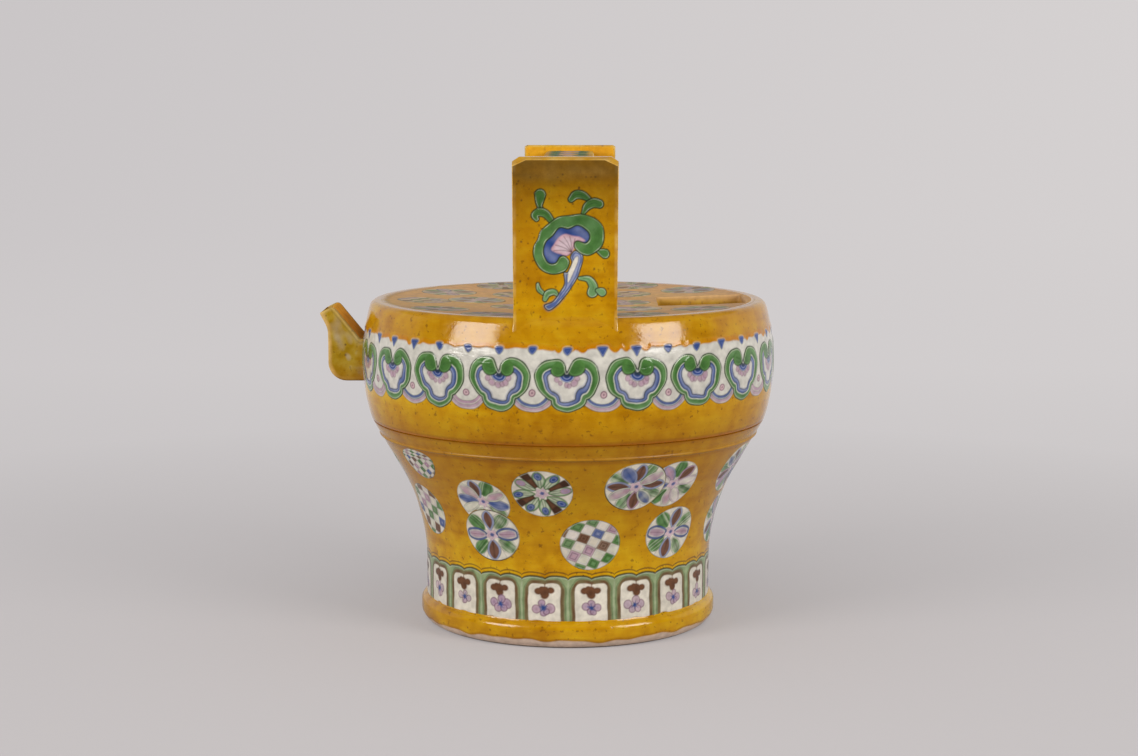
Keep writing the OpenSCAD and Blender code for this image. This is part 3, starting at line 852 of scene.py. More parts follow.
def petalDepth(canvas, angle, near, far, half, bluntness):
    along, across = turnedAxes(canvas, angle)
    share = np.clip((along - near) / (far - near), 1e-4, 1 - 1e-4)
    width = half * (np.sin(math.pi * share ** 1.15)) ** bluntness
    return np.maximum(np.abs(across) - width, np.maximum(near - along, along - far)), across


petalForms = {  # half width, bluntness, width and colours of the rim, filling, line along the middle
    "brown": (3.0, 0.7, 1.0, ("paleBlue", "lilac"), "brown", "umber"),
    "leaf": (3.0, 0.6, 0.4, ("paleLine", "leafGreen"), "green", "deepGreen"),
    "wedge": (3.0, 0.5, 0.4, ("paleLine", "sage"), "leafGreen", "deepGreen"),
    "loop": (3.3, 0.4, 1.0, ("blue", "mauve"), "ivory", "rose"),
    "blue": (2.8, 0.6, 0.7, ("paleBlue", "paleLine"), "blue", "deepBlue"),
    "lilac": (2.6, 0.5, 0.6, ("paleLine", "paleBlue"), "lilac", "rose"),
    "white": (2.5, 0.5, 0.6, ("paleLilac", "paleLine"), "ivory", "paleLine"),
}


def paintPetal(canvas, rng, kind, angle, size, room):
    half, blunt, band, edges, filling, middle = petalForms[kind]
    behind = kind in ("leaf", "wedge")
    near, far = (0.28, 1.06) if behind else (0.16, 0.98)
    half = min(half * rng.uniform(0.9, 1.12), room)
    depth, across = petalDepth(canvas, angle, near * size, far * size, half, blunt)
    phase = rng.uniform(0, 6, 2)
    wash = 0.68 + 0.28 * np.sin(0.9 * canvas["x"] + phase[0]) * np.sin(0.8 * canvas["y"] + phase[1])
    lay(canvas, depth - 0.26, "outline", strength=0.85 * wash, rise=-0.06)
    lay(canvas, depth, edges[rng.integers(2)], strength=0.9, rise=0.05)
    lay(canvas, depth + band, filling, strength=0.95 if kind == "brown" else wash, rise=0.04)
    vein = np.maximum(depth + band + 0.4, np.abs(across) - 0.4)
    lay(canvas, vein, middle, soft=0.9, strength=0.8 * wash)
    if kind == "loop":
        lay(canvas, depth + band + 0.6, "lilac", soft=0.7, strength=0.8)
        lay(canvas, np.maximum(depth + band + 0.6, np.abs(across) - 0.16), "aubergine", strength=0.6)
    if behind:  # uneven strokes along the leaf
        for offset in rng.uniform(-0.75, 0.75, 4) * half:
            stroke = np.maximum(depth + 0.3, np.abs(across - offset) - 0.17)
            lay(canvas, stroke, rng.choice(["deepGreen", "outline", "paleLine"]), strength=0.55)
    else:
        lay(canvas, np.abs(depth + band) - 0.14, "outline", strength=0.5 * wash, rise=-0.04)


def paintStar(canvas, rng, spin, size):
    for k in range(4):
        start = spin + k * math.pi / 2
        for side in (-1, 1):
            bud = rng.choice(["blue", "lilac", "deepBlue"])
            angle = start + side * math.radians(25) + rng.uniform(-0.05, 0.05)
            depth, across = petalDepth(canvas, angle, 0.2 * size, 1.0 * size, 2.9, 0.6)
            lay(canvas, depth, "outline", strength=0.75)
            lay(canvas, depth + 0.3, "leafGreen", strength=0.85, rise=0.05)
            lay(canvas, depth + 0.9, "paleLine", strength=0.6)
            veins = np.maximum(depth + 0.5, np.abs(np.abs(across) - 0.6) - 0.2)
            lay(canvas, veins, "deepGreen", strength=0.65)
            along = turnedAxes(canvas, angle)[0] - 0.76 * size
            oval = np.hypot(along / 1.35, across) - 1.8
            lay(canvas, oval, "outline", strength=0.45)
            lay(canvas, oval + 0.25, bud, rise=0.06)
            lay(canvas, np.abs(oval + 0.9) - 0.16, "paleBlue", strength=0.65)
        along, across = turnedAxes(canvas, start)
        wedge = np.maximum(np.abs(across) - 0.2 - 0.15 * along, 0.3 * size - along)
        lay(canvas, wedge - 0.3, "outline", strength=0.7, rise=-0.06)
        lay(canvas, wedge, "umber", rise=0.05)
        lay(canvas, np.maximum(wedge + 0.5, along - 0.7 * size), "brown", soft=0.9, strength=0.7)


checkOrder = ["green", "brown", "lilac", "green", "blue", "brown", "green", "lilac"]
checkInner = {  # ring and heart of a coloured cell
    "green": ("deepGreen", "leafGreen"), "lilac": ("aubergine", "rose"), "brown": ("umber", "umber"),
    "blue": ("deepBlue", "paleBlue"),
}


def paintCheck(canvas, rng, spin, cell):
    u, v = turnedAxes(canvas, spin)
    u, v = u / cell + 0.35, v / cell + 0.2
    column, row = np.floor(u).astype(int), np.floor(v).astype(int)
    across = np.maximum(np.abs(u - column - 0.5), np.abs(v - row - 0.5)) * cell
    start = rng.integers(len(checkOrder))
    for i in range(-4, 5):
        for j in range(-4, 5):
            here = np.where((column == i) & (row == j), across - cell / 2 + 0.12, 9.0)
            if (i + j) % 2 == 0:
                tint = ("haze", "paleLilac", "sage")[(i + 2 * j) % 3]
                lay(canvas, here + 0.3, tint, soft=0.6, strength=0.22)
                lay(canvas, np.abs(here + 0.5) - 0.1, "paleBlue", soft=0.3, strength=0.5)
                continue
            colour = checkOrder[(start + (i - j) // 2 + 3 * ((i + j) // 2)) % len(checkOrder)]
            ring, heart = checkInner[colour]
            lay(canvas, here, colour, strength=rng.uniform(0.85, 1.0), rise=0.05)
            lay(canvas, np.abs(here + 0.2 * cell) - 0.16, ring, strength=0.8, rise=-0.05)
            lay(canvas, here + 0.36 * cell, heart, strength=0.6)
    lay(canvas, cell / 2 - 0.15 - across, "outline", soft=0.3, strength=0.6, rise=-0.08)


def paintRoundel(canvas, rng, kind, spin, size, ground):
    away = np.hypot(canvas["x"], canvas["y"])
    lay(canvas, away - size, "ivory", strength=ground)
    handDrawn(canvas, rng, 0.16)
    if kind not in checkCells:  # faint guide lines cut before the painting
        for angle in rng.uniform(0, 2 * math.pi, roundel["guides"]):
            ends = [(far * math.cos(angle), far * math.sin(angle)) for far in (0.3 * size, 0.97 * size)]
            lay(canvas, lineGap(canvas, ends) - 0.1, "outline", soft=0.3, strength=0.45, rise=-0.05)
    if kind in checkCells:
        paintCheck(canvas, rng, spin, checkCells[kind] * size)
    elif kind == "star":
        paintStar(canvas, rng, spin, size)
    else:
        order = petalOrders[kind]
        step = 2 * math.pi / len(order)
        for k, name in sorted(enumerate(order), key=lambda item: item[1] not in ("wedge", "leaf")):
            angle = spin + k * step + rng.uniform(-0.09, 0.09)
            paintPetal(canvas, rng, name, angle, size, 0.52 * size * step)
    turn = np.arctan2(canvas["y"], canvas["x"])
    if kind not in checkCells:
        heart = np.hypot(canvas["x"], canvas["y"]) - 0.19 * size - 0.45 * np.cos(5 * turn + spin)
        lay(canvas, heart - 0.25, "aubergine", strength=0.6, rise=-0.05)
        lay(canvas, heart, "paleLilac", rise=0.05)
        lay(canvas, np.abs(heart + 0.9) - 0.3, "rose", soft=0.7, strength=0.8)
        lay(canvas, spot(canvas, 0.2, 0.1, 0.95), "deepBlue", soft=0.7, strength=0.9)
    outside = unit(0.5 + (away - size) / 0.4)
    canvas["cover"] *= 1 - outside
    canvas["relief"] *= 1 - outside
    lay(canvas, np.abs(away - size + 0.5) - 0.14, "paleLine", strength=0.5)
    broken = 0.65 + 0.35 * np.sin(2 * turn + 3 * spin)
    lay(canvas, np.abs(away - size + 0.05) - 0.28, "outline", strength=broken, rise=-0.1)


def discGrid(count):  # even grid of points over a unit disc, with its faces
    line = np.linspace(-1, 1, count + 1)
    u, v = np.meshgrid(line, line)
    wide = np.abs(u) > np.abs(v)
    big = np.where(wide, u, v)
    angle = np.where(wide, np.pi / 4 * v / np.where(wide & (u != 0), u, 1),
                     np.pi / 2 - np.pi / 4 * u / np.where(~wide & (v != 0), v, 1))
    at = np.arange((count + 1) ** 2).reshape(count + 1, count + 1)
    return (big * np.cos(angle)).ravel(), (big * np.sin(angle)).ravel(), gridFaces(at)


wallLine = np.linspace(footTop, seamZ, 400)
wallRun = np.concatenate([[0], np.cumsum(np.hypot(np.diff(wallRadius(wallLine)), np.diff(wallLine)))])


def wallPlace(turn, z, x, y, lift):  # points of a disc laid on the flare
    start, limit = np.interp((z, roundel["highest"]), wallLine, wallRun)
    x, y = roundel["wide"] * x, roundel["tall"] * y
    y = np.where(y > 0, y * min(1, (limit - start) / y.max()), y)
    height = np.interp(start + y, wallRun, wallLine)
    radius = wallRadius(height)
    slope = (wallRadius(height + 0.2) - wallRadius(height - 0.2)) / 0.4
    tilt = np.sqrt(1 + slope ** 2)
    angle = math.radians(turn) + x / wallRadius(z)
    radius = radius + wobble(angle, height) + lift / tilt
    return np.stack([radius * np.sin(angle), -radius * np.cos(angle), height - lift * slope / tilt], 1)


def roofPlace(cx, cy, x, y, lift):
    px, py = cx + x, cy + y
    return np.stack([px, py, roofHeight(np.hypot(px, py)) + lift], 1)


def makeRoundels(name, places, laid, seed, depth, ground):
    rng = np.random.default_rng(seed)
    gx, gy, discFaces = discGrid(roundel["grid"])
    points, faces, canvases = [], [], []
    for first, second, kind, spin, size, raised in places:
        x, y = gx * (size + roundel["edge"]), gy * (size + roundel["edge"])
        canvas = newCanvas(x, y)
        paintRoundel(canvas, rng, kind, math.radians(spin), size, ground)
        canvas["dry"] += roundel["matt"] * (1 - ground)
        # on the matt roof roundels the haze is a painted reflection of the pale backdrop
        lay(canvas, -1.0, "haze", strength=roundel["haze"] * (1 - ground))
        rim = unit((np.hypot(x, y) - size) / roundel["edge"])
        height = roundel["wallLift"] + raised * roundel["coverLift"]
        lift = depth * canvas["relief"] + height - rim * (height + roundel["sink"])
        faces.append(discFaces + sum(len(p) for p in points))
        points.append(laid(first, second, x, y, lift))
        canvases.append(canvas)
    joined = {key: np.concatenate([canvas[key] for canvas in canvases])
              for key in ("colour", "cover", "pool", "dry")}
    piece = finishMesh(name, np.vstack(points), np.vstack(faces).tolist(), joined)
    seat(piece, amberGlaze, "amber_glaze")


for group in range(3):
    chosen = wallRoundels[group * roundel["group"]:(group + 1) * roundel["group"]]
    makeRoundels("wallRoundels" + "ABC"[group], chosen, wallPlace, roundel["wallSeed"] + group, 1.0, 1.0)
for group in range(2):
    chosen = roofRoundels[group * roundel["group"]:(group + 1) * roundel["group"]]
    makeRoundels("roofRoundels" + "AB"[group], chosen, roofPlace, roundel["roofSeed"] + group, 0.15, 0.5)
print("roundels done")

# Roof slab with the square filling hole
# haze is the share of painted reflection of the pale backdrop laid over the matt roof
roofLook = {"columns": 480, "rows": 44, "holeSize": 40.0, "holeMargin": 5.1, "holeRound": 2.0, "edge": 0.9,
            "margin": 1.5, "rosy": 0.55, "haze": 0.42, "matt": 0.9, "seed": 5}


def makeRoof():
    look = roofLook
    rng = np.random.default_rng(look["seed"])
    half = look["holeSize"] / 2
    holeX = roofRadius - look["holeMargin"] - half
    turn = turns(look["columns"])
    c, s = np.cos(turn), np.sin(turn)
    core = half - look["holeRound"]
    reach = half / np.maximum(np.abs(c), np.abs(s))
    cornerAt = np.abs(c) + np.abs(s)
    inCorner = np.minimum(np.abs(c), np.abs(s)) * reach > core
    beyond = (core * cornerAt) ** 2 - 2 * core ** 2 + look["holeRound"] ** 2
    corner = core * cornerAt + np.sqrt(np.clip(beyond, 0, None))
    reach = np.where(inCorner, corner, reach)
    hole = np.stack([holeX + reach * c, reach * s], 1)
    far = -holeX * c + np.sqrt(roofRadius ** 2 - (holeX * s) ** 2)
    rim = np.stack([holeX + far * c, far * s], 1)
    outwards = np.stack([c, s], 1)
    thick = rimZ - bodyForm["slabHeight"]
    loops = []
    for share in (np.linspace(0, 1, look["rows"]) ** 1.4)[::-1][:-1]:
        ring = hole + look["edge"] * outwards + (rim - hole - look["edge"] * outwards) * share
        loops.append(np.column_stack([ring, roofHeight(np.hypot(ring[:, 0], ring[:, 1]))]))
    for angle in np.radians(np.linspace(0, 90, 6)):
        ring = hole + look["edge"] * (1 - math.sin(angle)) * outwards
        top = roofHeight(np.hypot(ring[:, 0], ring[:, 1]))
        loops.append(np.column_stack([ring, top - look["edge"] * (1 - math.cos(angle))]))
    for z in (thick + 3, thick + 1, thick):
        loops.append(np.column_stack([hole, np.full(len(hole), z)]))
    for share in (0.03, 0.3, 0.7, 1.0):
        loops.append(np.column_stack([hole + (rim - hole) * share, np.full(len(hole), thick)]))
    points = np.vstack(loops)
    canvas = newCanvas(points[:, 0], points[:, 1])
    x, y, z = points.T
    fromRim = np.hypot(x, y) - roofRadius
    # pool near the rim; the 0.4 below the top is painted shade inside the filling hole and under the slab
    canvas["pool"] = 0.35 * unit(1 - np.abs(fromRim) / 2.5) + 0.4 * (z < rimZ - 3.5)
    clouds = np.sin(x / 17 + rng.uniform(0, 6)) * np.sin(y / 21 + rng.uniform(0, 6))
    inside = fromRim + look["margin"]
    upper = np.maximum(inside, rimZ - 3.0 - z)
    lay(canvas, upper, "rosyAmber", soft=2.5, strength=look["rosy"] + 0.15 * clouds)
    # the haze over the matt roof is a painted reflection of the pale backdrop
    lay(canvas, upper, "haze", soft=2.5, strength=look["haze"])
    canvas["dry"] += look["matt"] * (inside < 0)
    faces = turnFaces([look["columns"]] * len(loops))
    piece = finishMesh("roofSlab", points, faces, canvas, sharpAngle=50)
    seat(piece, amberGlaze, "amber_glaze", "top_plate")


makeRoof()
print("roof done")

# Posts with the fungus spray on their outer faces
# the dark share, with the height it starts at and its rise, is the painted shade towards the top of the post
post = {"columns": 146, "rows": 220, "foot": 22.25, "cornerBack": ((3.0, 2.0), (1.2, 0.8)),
        "cornerFront": (5.6, 2.6), "bevelDrop": 1.0, "sink": 0.1, "pool": 0.9, "poolRise": 2.6,
        "sprayAt": (1.4, 181.6), "specks": 34, "dark": 0.64, "darkFrom": 182.0, "darkRise": 30.0,
        "oliveFrom": 210.5, "sandAt": 213.4, "seed": 17}
spray = {  # millimetres from the middle of the cap
    "cap": [(0.2, -6.1), (-1.2, -10.0), (-6.1, -11.6), (-11.4, -10.0), (-14.7, -5.3), (-15.1, 0.0),
            (-13.1, 3.5), (-11.8, 6.9), (-8.2, 10.2), (-4.5, 12.9), (0.4, 13.9), (6.1, 14.3),
            (11.4, 12.2), (14.5, 9.0), (15.3, 4.1), (13.5, -0.4), (9.4, -3.3), (5.7, -2.9), (2.7, -0.4),
            (2.4, 2.0), (4.1, 2.9), (7.3, 2.0), (9.2, 4.1), (8.2, 6.9), (4.1, 9.4), (0.0, 8.0),
            (-3.7, 8.2), (-6.5, 4.9), (-9.8, 2.0), (-10.8, -2.4), (-9.0, -6.5), (-5.7, -6.9),
            (-3.7, -4.1), (-1.6, -3.7)],
    "hollow": [(4.1, 2.9), (7.3, 2.0), (9.2, 4.1), (8.2, 6.9), (4.1, 9.4), (0.0, 8.0), (-3.7, 8.2),
               (-6.5, 4.9), (-9.8, 2.0), (-10.8, -2.4), (-9.0, -6.5), (-5.7, -6.9), (-3.7, -4.1),
               (-1.6, -3.7), (0.8, -2.4), (2.4, 0.5)],
    "gills": [(2.4, -0.2), (2.9, 2.4), (7.2, 2.8), (5.2, 4.4), (2.6, 4.9), (1.4, 5.2), (-1.4, 5.7),
              (-4.0, 4.1), (-6.0, 1.5), (-7.4, -0.8), (-5.4, -2.3), (-3.4, -2.9), (-1.0, -3.4),
              (1.0, -2.0)],
    "gillTips": [(-6.2, -1.4), (-5.6, 1.0), (-3.8, 3.0), (-1.8, 4.6), (0.6, 4.8), (2.8, 3.9)],
    "gillRoot": (1.0, -1.7),
    "stem": [(2.2, -1.4), (4.4, -1.7), (6.0, -3.2), (5.9, -6.2), (4.3, -11.8), (1.4, -16.8),
             (-1.8, -21.2), (-4.8, -24.8), (-8.6, -27.1), (-10.5, -25.0), (-6.6, -23.2), (-3.7, -19.2),
             (-1.6, -15.5), (-2.0, -10.8), (-0.4, -10.4), (1.2, -6.6), (0.6, -4.0)],
    "core": [(2.9, -4.1), (4.0, -4.3), (3.3, -7.6), (1.2, -12.4), (-0.2, -14.8), (-0.1, -10.8),
             (1.3, -6.9)],
    "paleLeaves": (5, 6, 7, 8),
    "leaves": [  # place and half width along each curl
        [(-12.1, 22.3, 2.5), (-12.4, 19.8, 1.9), (-12.4, 17.4, 1.2), (-11.4, 15.2, 1.3)],
        [(-13.6, 12.0, 1.1), (-14.5, 13.9, 1.6), (-12.6, 15.0, 1.9), (-9.8, 14.2, 1.8), (-7.2, 11.4, 1.4)],
        [(1.0, 20.6, 1.4), (3.1, 22.4, 1.9), (6.1, 22.2, 1.8), (8.8, 20.4, 1.1)],
        [(13.0, 18.4, 1.9), (10.4, 18.8, 2.1), (7.8, 17.4, 1.7), (6.2, 14.8, 1.0)],
        [(12.6, -1.6, 1.0), (15.3, -2.7, 2.2)],
        [(4.9, -13.1, 0.8), (8.6, -13.5, 1.4), (10.6, -16.5, 1.9), (10.2, -19.4, 2.3)],
        [(12.4, -18.6, 1.0), (14.1, -19.2, 2.0)],
        [(-13.1, -15.7, 0.7), (-12.6, -18.2, 1.1), (-10.8, -20.0, 0.9)],
        [(-10.2, -22.4, 1.1), (-9.0, -20.0, 1.5), (-6.3, -19.2, 1.4), (-4.7, -20.6, 0.7)],
    ],
}


def outlined(canvas, depth):  # incised dark edge with a pale line inside it
    broken = 0.55 + 0.45 * np.sin(0.7 * canvas["x"] + 0.9 * canvas["y"])
    lay(canvas, np.abs(depth + 0.5) - 0.12, "paleLine", soft=0.3, strength=0.75 * broken)
    lay(canvas, np.abs(depth) - 0.24, "outline", strength=0.9, rise=-0.18)


def paintSpray(canvas, rng):
    handDrawn(canvas, rng, 0.12)
    for k, leaf in enumerate(spray["leaves"]):
        line = flow(leaf)
        depth = lineGap(canvas, line)
        lay(canvas, depth, "leafGreen" if k in spray["paleLeaves"] else "green", rise=0.14)
        vein = lineGap(canvas, line[2:-2, :2]) - 0.14 if len(line) > 8 else depth + 9
        lay(canvas, np.maximum(vein, depth + 0.5), "deepGreen", strength=0.6)
        outlined(canvas, depth)
    stem = loopDepth(canvas, flow(spray["stem"], True))
    lay(canvas, stem, "paleBlue", rise=0.1)
    lay(canvas, np.maximum(stem, canvas["y"] + 22.0), "blue", soft=2.0, strength=0.8)
    lay(canvas, np.abs(stem + 0.75) - 0.45, "blue", strength=0.85)
    core = loopDepth(canvas, flow(spray["core"], True))
    lay(canvas, core, "ivory")
    lay(canvas, np.abs(core - 0.2) - 0.2, "outline", strength=0.35)
    outlined(canvas, stem)
    hollow = loopDepth(canvas, flow(spray["hollow"], True))
    lay(canvas, hollow, "deepBlue", rise=0.08)
    light = 0.5 + 0.5 * np.sin(0.45 * canvas["x"] + 0.6 * canvas["y"] + 1)
    lay(canvas, hollow + 0.5, "paleBlue", soft=1.6, strength=0.4 * light)
    lay(canvas, np.abs(hollow) - 0.2, "outline", strength=0.7)
    gills = loopDepth(canvas, flow(spray["gills"], True))
    lay(canvas, gills, "rose", soft=0.7, rise=0.05)
    lay(canvas, gills + 1.0, "paleLilac", soft=1.8, strength=0.8)
    root = np.array(spray["gillRoot"])
    for tip in spray["gillTips"]:
        middle = (root + np.array(tip)) / 2 + (0.25, 0.35)
        rib = lineGap(canvas, flow([root, middle, tip])) - 0.14
        lay(canvas, np.maximum(rib, gills), "umber", strength=0.75, rise=-0.06)
    cap = loopDepth(canvas, flow(spray["cap"], True))
    lay(canvas, cap, "green", rise=0.2)
    lay(canvas, np.abs(cap + 2.4) - 0.8, "deepGreen", soft=2.6, strength=0.35)
    shade = 0.5 + 0.5 * np.sin(0.5 * canvas["x"] - 0.35 * canvas["y"])
    lay(canvas, cap + 0.6, "leafGreen", soft=1.6, strength=0.4 * shade)
    outlined(canvas, cap)


def postOutline(u, v, depth, blend, inset, back):  # points at a depth behind the outer face
    width = post["foot"] + (postHigh[0] - post["foot"]) * v
    x = u * (width - inset)
    cutX = post["cornerFront"][0] + (back[0] - post["cornerFront"][0]) * blend
    cutZ = post["cornerFront"][1] + (back[1] - post["cornerFront"][1]) * blend
    top = postHigh[2] - post["bevelDrop"] * (1 - blend) - inset
    top = top - np.clip(np.abs(x) - (postHigh[0] - inset - cutX), 0, None) * cutZ / cutX
    y = postLow[1] + depth
    rise = (top - roofHeight(np.hypot(x, y))) * v
    # glaze pooled in the corner between post and shoulder
    pool = post["pool"] * unit(1 - rise / post["poolRise"]) ** 2.5
    facing = unit(1 - depth / 2.5) - unit(1 - (postHigh[1] - y) / 2.5)
    x = x + 0.5 * np.sign(u) * np.abs(u) ** 8 * pool
    y = y - facing * pool
    low = roofHeight(np.hypot(x, y)) - post["sink"]
    return np.stack(np.broadcast_arrays(x, y, low + (top - low) * v), -1)


def paintPostWear(canvas, rng, sign):  # specks and worn edges
    x, z = canvas["x"] + post["sprayAt"][0], canvas["y"] + post["sprayAt"][1]
    for _ in range(post["specks"]):
        place = (-22 + 42 * rng.random() ** 1.7, 31 - 60 * rng.random() ** 2.2)
        speck = spot(canvas, *place, rng.uniform(0.15, 0.5), rng.uniform(0.6, 1.4))
        lay(canvas, speck, "umber", soft=0.5, strength=rng.uniform(0.5, 0.9))
    patchy = 0.35 + 0.3 * np.sin(z / 4 + sign) * np.sin(z / 9) + 0.2 * np.sin(z / 1.7)
    lay(canvas, post["foot"] - 1.1 - np.abs(x), "worn", soft=0.8, strength=0.45 * unit(patchy))


def paintShadeOnPostTop(canvas, sign):  # painted shade, darker towards the top, over the leaves too
    x, z = canvas["x"] + post["sprayAt"][0], canvas["y"] + post["sprayAt"][1]
    dark = post["dark"] * unit((z - post["darkFrom"]) / post["darkRise"]) ** 1.4
    under = (1 - canvas["cover"]) * dark / 0.72
    canvas["colour"] *= (canvas["cover"] * (1 - dark))[:, None]
    canvas["colour"] += under[:, None] * enamel["treacle"]
    canvas["cover"] = canvas["cover"] + under
    canvas["colour"] /= np.maximum(canvas["cover"], 1e-6)[:, None]
    edge = post["oliveFrom"] + 1.0 * np.sin(x / 6 + sign) + 0.6 * np.sin(x / 2.4)
    patches = 0.35 + 0.12 * np.sin(x / 2.7 + z / 1.9) * np.sin(x / 4.1 - z / 2.3)
    lay(canvas, edge - z, "olive", soft=6.0, strength=patches)
    strip = np.maximum(np.abs(z - post["sandAt"]) - 1.0, np.abs(x - 3) - 15)
    lay(canvas, strip, "sand", soft=5.0, strength=0.3 * patches)


def sewn(below, ring):  # faces between two loops of the same length
    return np.stack([np.roll(below, -1), below, ring, np.roll(ring, -1)], -1).tolist()


def makePost(name, node, turned):
    look = post
    rng = np.random.default_rng(look["seed"] + turned)
    u, v = np.meshgrid(np.linspace(-1, 1, look["columns"] + 1), np.linspace(0, 1, look["rows"] + 1))
    at = np.arange(u.size).reshape(u.shape)
    u, v = u.ravel(), v.ravel()
    border = np.concatenate([at[0, :-1], at[:-1, -1], at[-1, :0:-1], at[:0:-1, 0]])
    thick = postHigh[1] - postLow[1]
    back = look["cornerBack"][turned]
    front = postOutline(u, v, 0.0, 0.0, 0.4, back)
    canvas = newCanvas(front[:, 0] - look["sprayAt"][0], front[:, 2] - look["sprayAt"][1])
    paintPostWear(canvas, rng, turned)
    paintSpray(canvas, rng)
    paintShadeOnPostTop(canvas, turned)
    foot = unit(1 - v * 12)
    sides = 0.5 * unit(-u) + 0.25 * unit(u)
    # the even 0.12 is painted shade over the whole face; the foot term is glaze pooled at the joint; darker
    # towards the sides, more on the left
    canvas["pool"] = 0.12 + 0.38 * foot + sides * unit(5 * v - 0.6)
    front[:, 1] -= canvas["relief"] * (foot == 0)
    points, count = [front], len(front)
    faces = gridFaces(at).tolist()
    below = border
    along = np.arange(len(border))
    uneven = unit(0.5 + 0.4 * np.sin(along / 7) * np.sin(along / 17) + 0.2 * np.sin(along / 3))
    wearAndInnerLight = []
    rounds = ((0.05, 0, 0.25, 0.4), (0.2, 0, 0.08, 0.5), (0.5, 0, 0, 0.35), (2.5, 0.95, 0.1, 0.12),
              (3.2, 1, 0, 0), (thick - 1.1, 1, 0, 0), (thick - 0.4, 1, 0.2, 0.4),
              (thick - 0.1, 1, 0.55, 0.35))
    for depth, blend, inset, worn in rounds:  # from the outer face round the edge to the inner one
        points.append(postOutline(u[border], v[border], depth, blend, inset, back))
        wearAndInnerLight.append(worn * uneven)
        ring = along + count
        count += len(border)
        faces += sewn(below, ring)
        below = ring
    points.append(postOutline(u, v, thick, 1.0, 1.0, back))
    faces += sewn(below, border + count)
    faces += gridFaces(at + count)[:, [0, 3, 2, 1]].tolist()
    points = np.vstack(points)
    edgeTone = np.tile(enamel["worn"], (len(rounds) * len(border), 1))
    innerPaintedLight = np.tile(enamel["honey"], (u.size, 1))
    wearAndInnerLight.append(0.45 * unit(6 * v - 4.8))  # inner face paler towards the top: painted light
    wearAndInnerLight = np.concatenate(wearAndInnerLight)
    canvas["cover"] = np.concatenate([canvas["cover"], wearAndInnerLight])
    canvas["colour"] = np.vstack([canvas["colour"], edgeTone, innerPaintedLight])
    for key in ("pool", "dry"):
        canvas[key] = np.concatenate([canvas[key], np.zeros(len(wearAndInnerLight))])
    if turned:
        points[:, :2] *= -1
    piece = finishMesh(name, points, faces, canvas, sharpAngle=50)
    seat(piece, amberGlaze, "amber_glaze", node)


makePost("frontPost", "front_post", 0)
makePost("rearPost", "rear_post", 1)
print("posts done")

# Crossbar with flowers and leaves along its top
bar = {"step": 0.5, "round": 2.5, "motifs": 6, "motifPitch": 26.0, "matt": 0.8, "seed": 29,
       "leaf": [(2.2, 2.0, 0.8), (4.8, 4.2, 2.0), (7.4, 6.6, 2.2), (7.2, 10.0, 1.3), (5.0, 11.4, 0.8)]}


def paintBarMotif(canvas, rng):  # lilac flower between broad leaves
    handDrawn(canvas, rng, 0.14)
    for side in (-1, 1):
        for flip in (-1, 1):
            leaf = [(x * side, y * flip, half) for x, y, half in bar["leaf"]]
            depth = lineGap(canvas, flow(leaf))
            lay(canvas, depth, "green" if side == flip else "leafGreen", rise=0.12)
            lay(canvas, depth + 0.7, "deepGreen", soft=1.6, strength=0.6)
            lay(canvas, np.abs(depth) - 0.24, "outline", strength=0.9, rise=-0.18)
    for k in range(4):
        angle = math.radians(90 * k) + rng.uniform(-0.15, 0.15)
        petal = spot(canvas, 3.4 * math.cos(angle), 3.4 * math.sin(angle), 2.5)
        lay(canvas, petal, "lilac", soft=0.7, strength=0.9, rise=0.08)
        lay(canvas, petal + 1.0, "paleLilac", soft=0.8, strength=0.8)
        lay(canvas, np.abs(petal) - 0.18, "aubergine", strength=0.6)
    lay(canvas, spot(canvas, 0, 0, 1.4), "blue", soft=0.8)


def makeBar():
    look = bar
    rng = np.random.default_rng(look["seed"])
    half, thick = barHigh[0], (barHigh[2] - barLow[2]) / 2
    midZ = (barHigh[2] + barLow[2]) / 2
    r = look["round"]
    top = np.arange(half - r, -(half - r) - 0.01, -look["step"])
    loop = [np.stack([top, np.full(len(top), thick)], 1)]
    loop.append(arcPoints(-(half - r), thick - r, r, 90, 180, 6)[1:])
    loop.append(np.array([(-half, 0.0)]))
    loop.append(arcPoints(-(half - r), -(thick - r), r, 180, 270, 6))
    loop.append(np.array([(-4.0, -thick), (4.0, -thick)]))
    loop.append(arcPoints(half - r, -(thick - r), r, 270, 360, 6))
    loop.append(np.array([(half, 0.0)]))
    loop.append(arcPoints(half - r, thick - r, r, 0, 90, 6)[:-1])
    loop = np.vstack(loop)
    reach = barHigh[1] + 0.4
    along = np.linspace(-reach, reach, int(2 * reach / look["step"]))
    x, y = np.tile(loop[:, 0], len(along)), np.repeat(along, len(loop))
    z = midZ + np.tile(loop[:, 1], len(along))
    canvas = newCanvas(x, y)
    onTop = z > midZ + thick - 0.6
    for k in range(look["motifs"]):
        middle = (k - (look["motifs"] - 1) / 2) * look["motifPitch"]
        chosen = np.flatnonzero(onTop & (np.abs(y - middle) <= look["motifPitch"] / 2))
        part = cutCanvas(canvas, chosen, x[chosen], y[chosen] - middle)
        paintBarMotif(part, rng)
        pasteCanvas(canvas, part, chosen)
    z = z + canvas["relief"] * onTop + 0.12 * np.sin(y / 26) * np.cos(x / 15)
    canvas["pool"] = 0.5 * unit((np.abs(y) - reach + 2.0) / 2)
    canvas["dry"] += look["matt"] * onTop
    size = len(loop)
    faces = []
    for k in range(len(along) - 1):
        j = np.arange(size)
        low, high = k * size, (k + 1) * size
        faces += np.stack([low + j, high + j, high + (j + 1) % size, low + (j + 1) % size], -1).tolist()
    faces.append(list(range(size)))
    faces.append(list(range(len(x) - 1, len(x) - 1 - size, -1)))
    piece = finishMesh("crossBar", np.stack([x, y, z], 1), faces, canvas, sharpAngle=60)
    seat(piece, amberGlaze, "amber_glaze", "crossbar")


makeBar()
print("crossbar done")

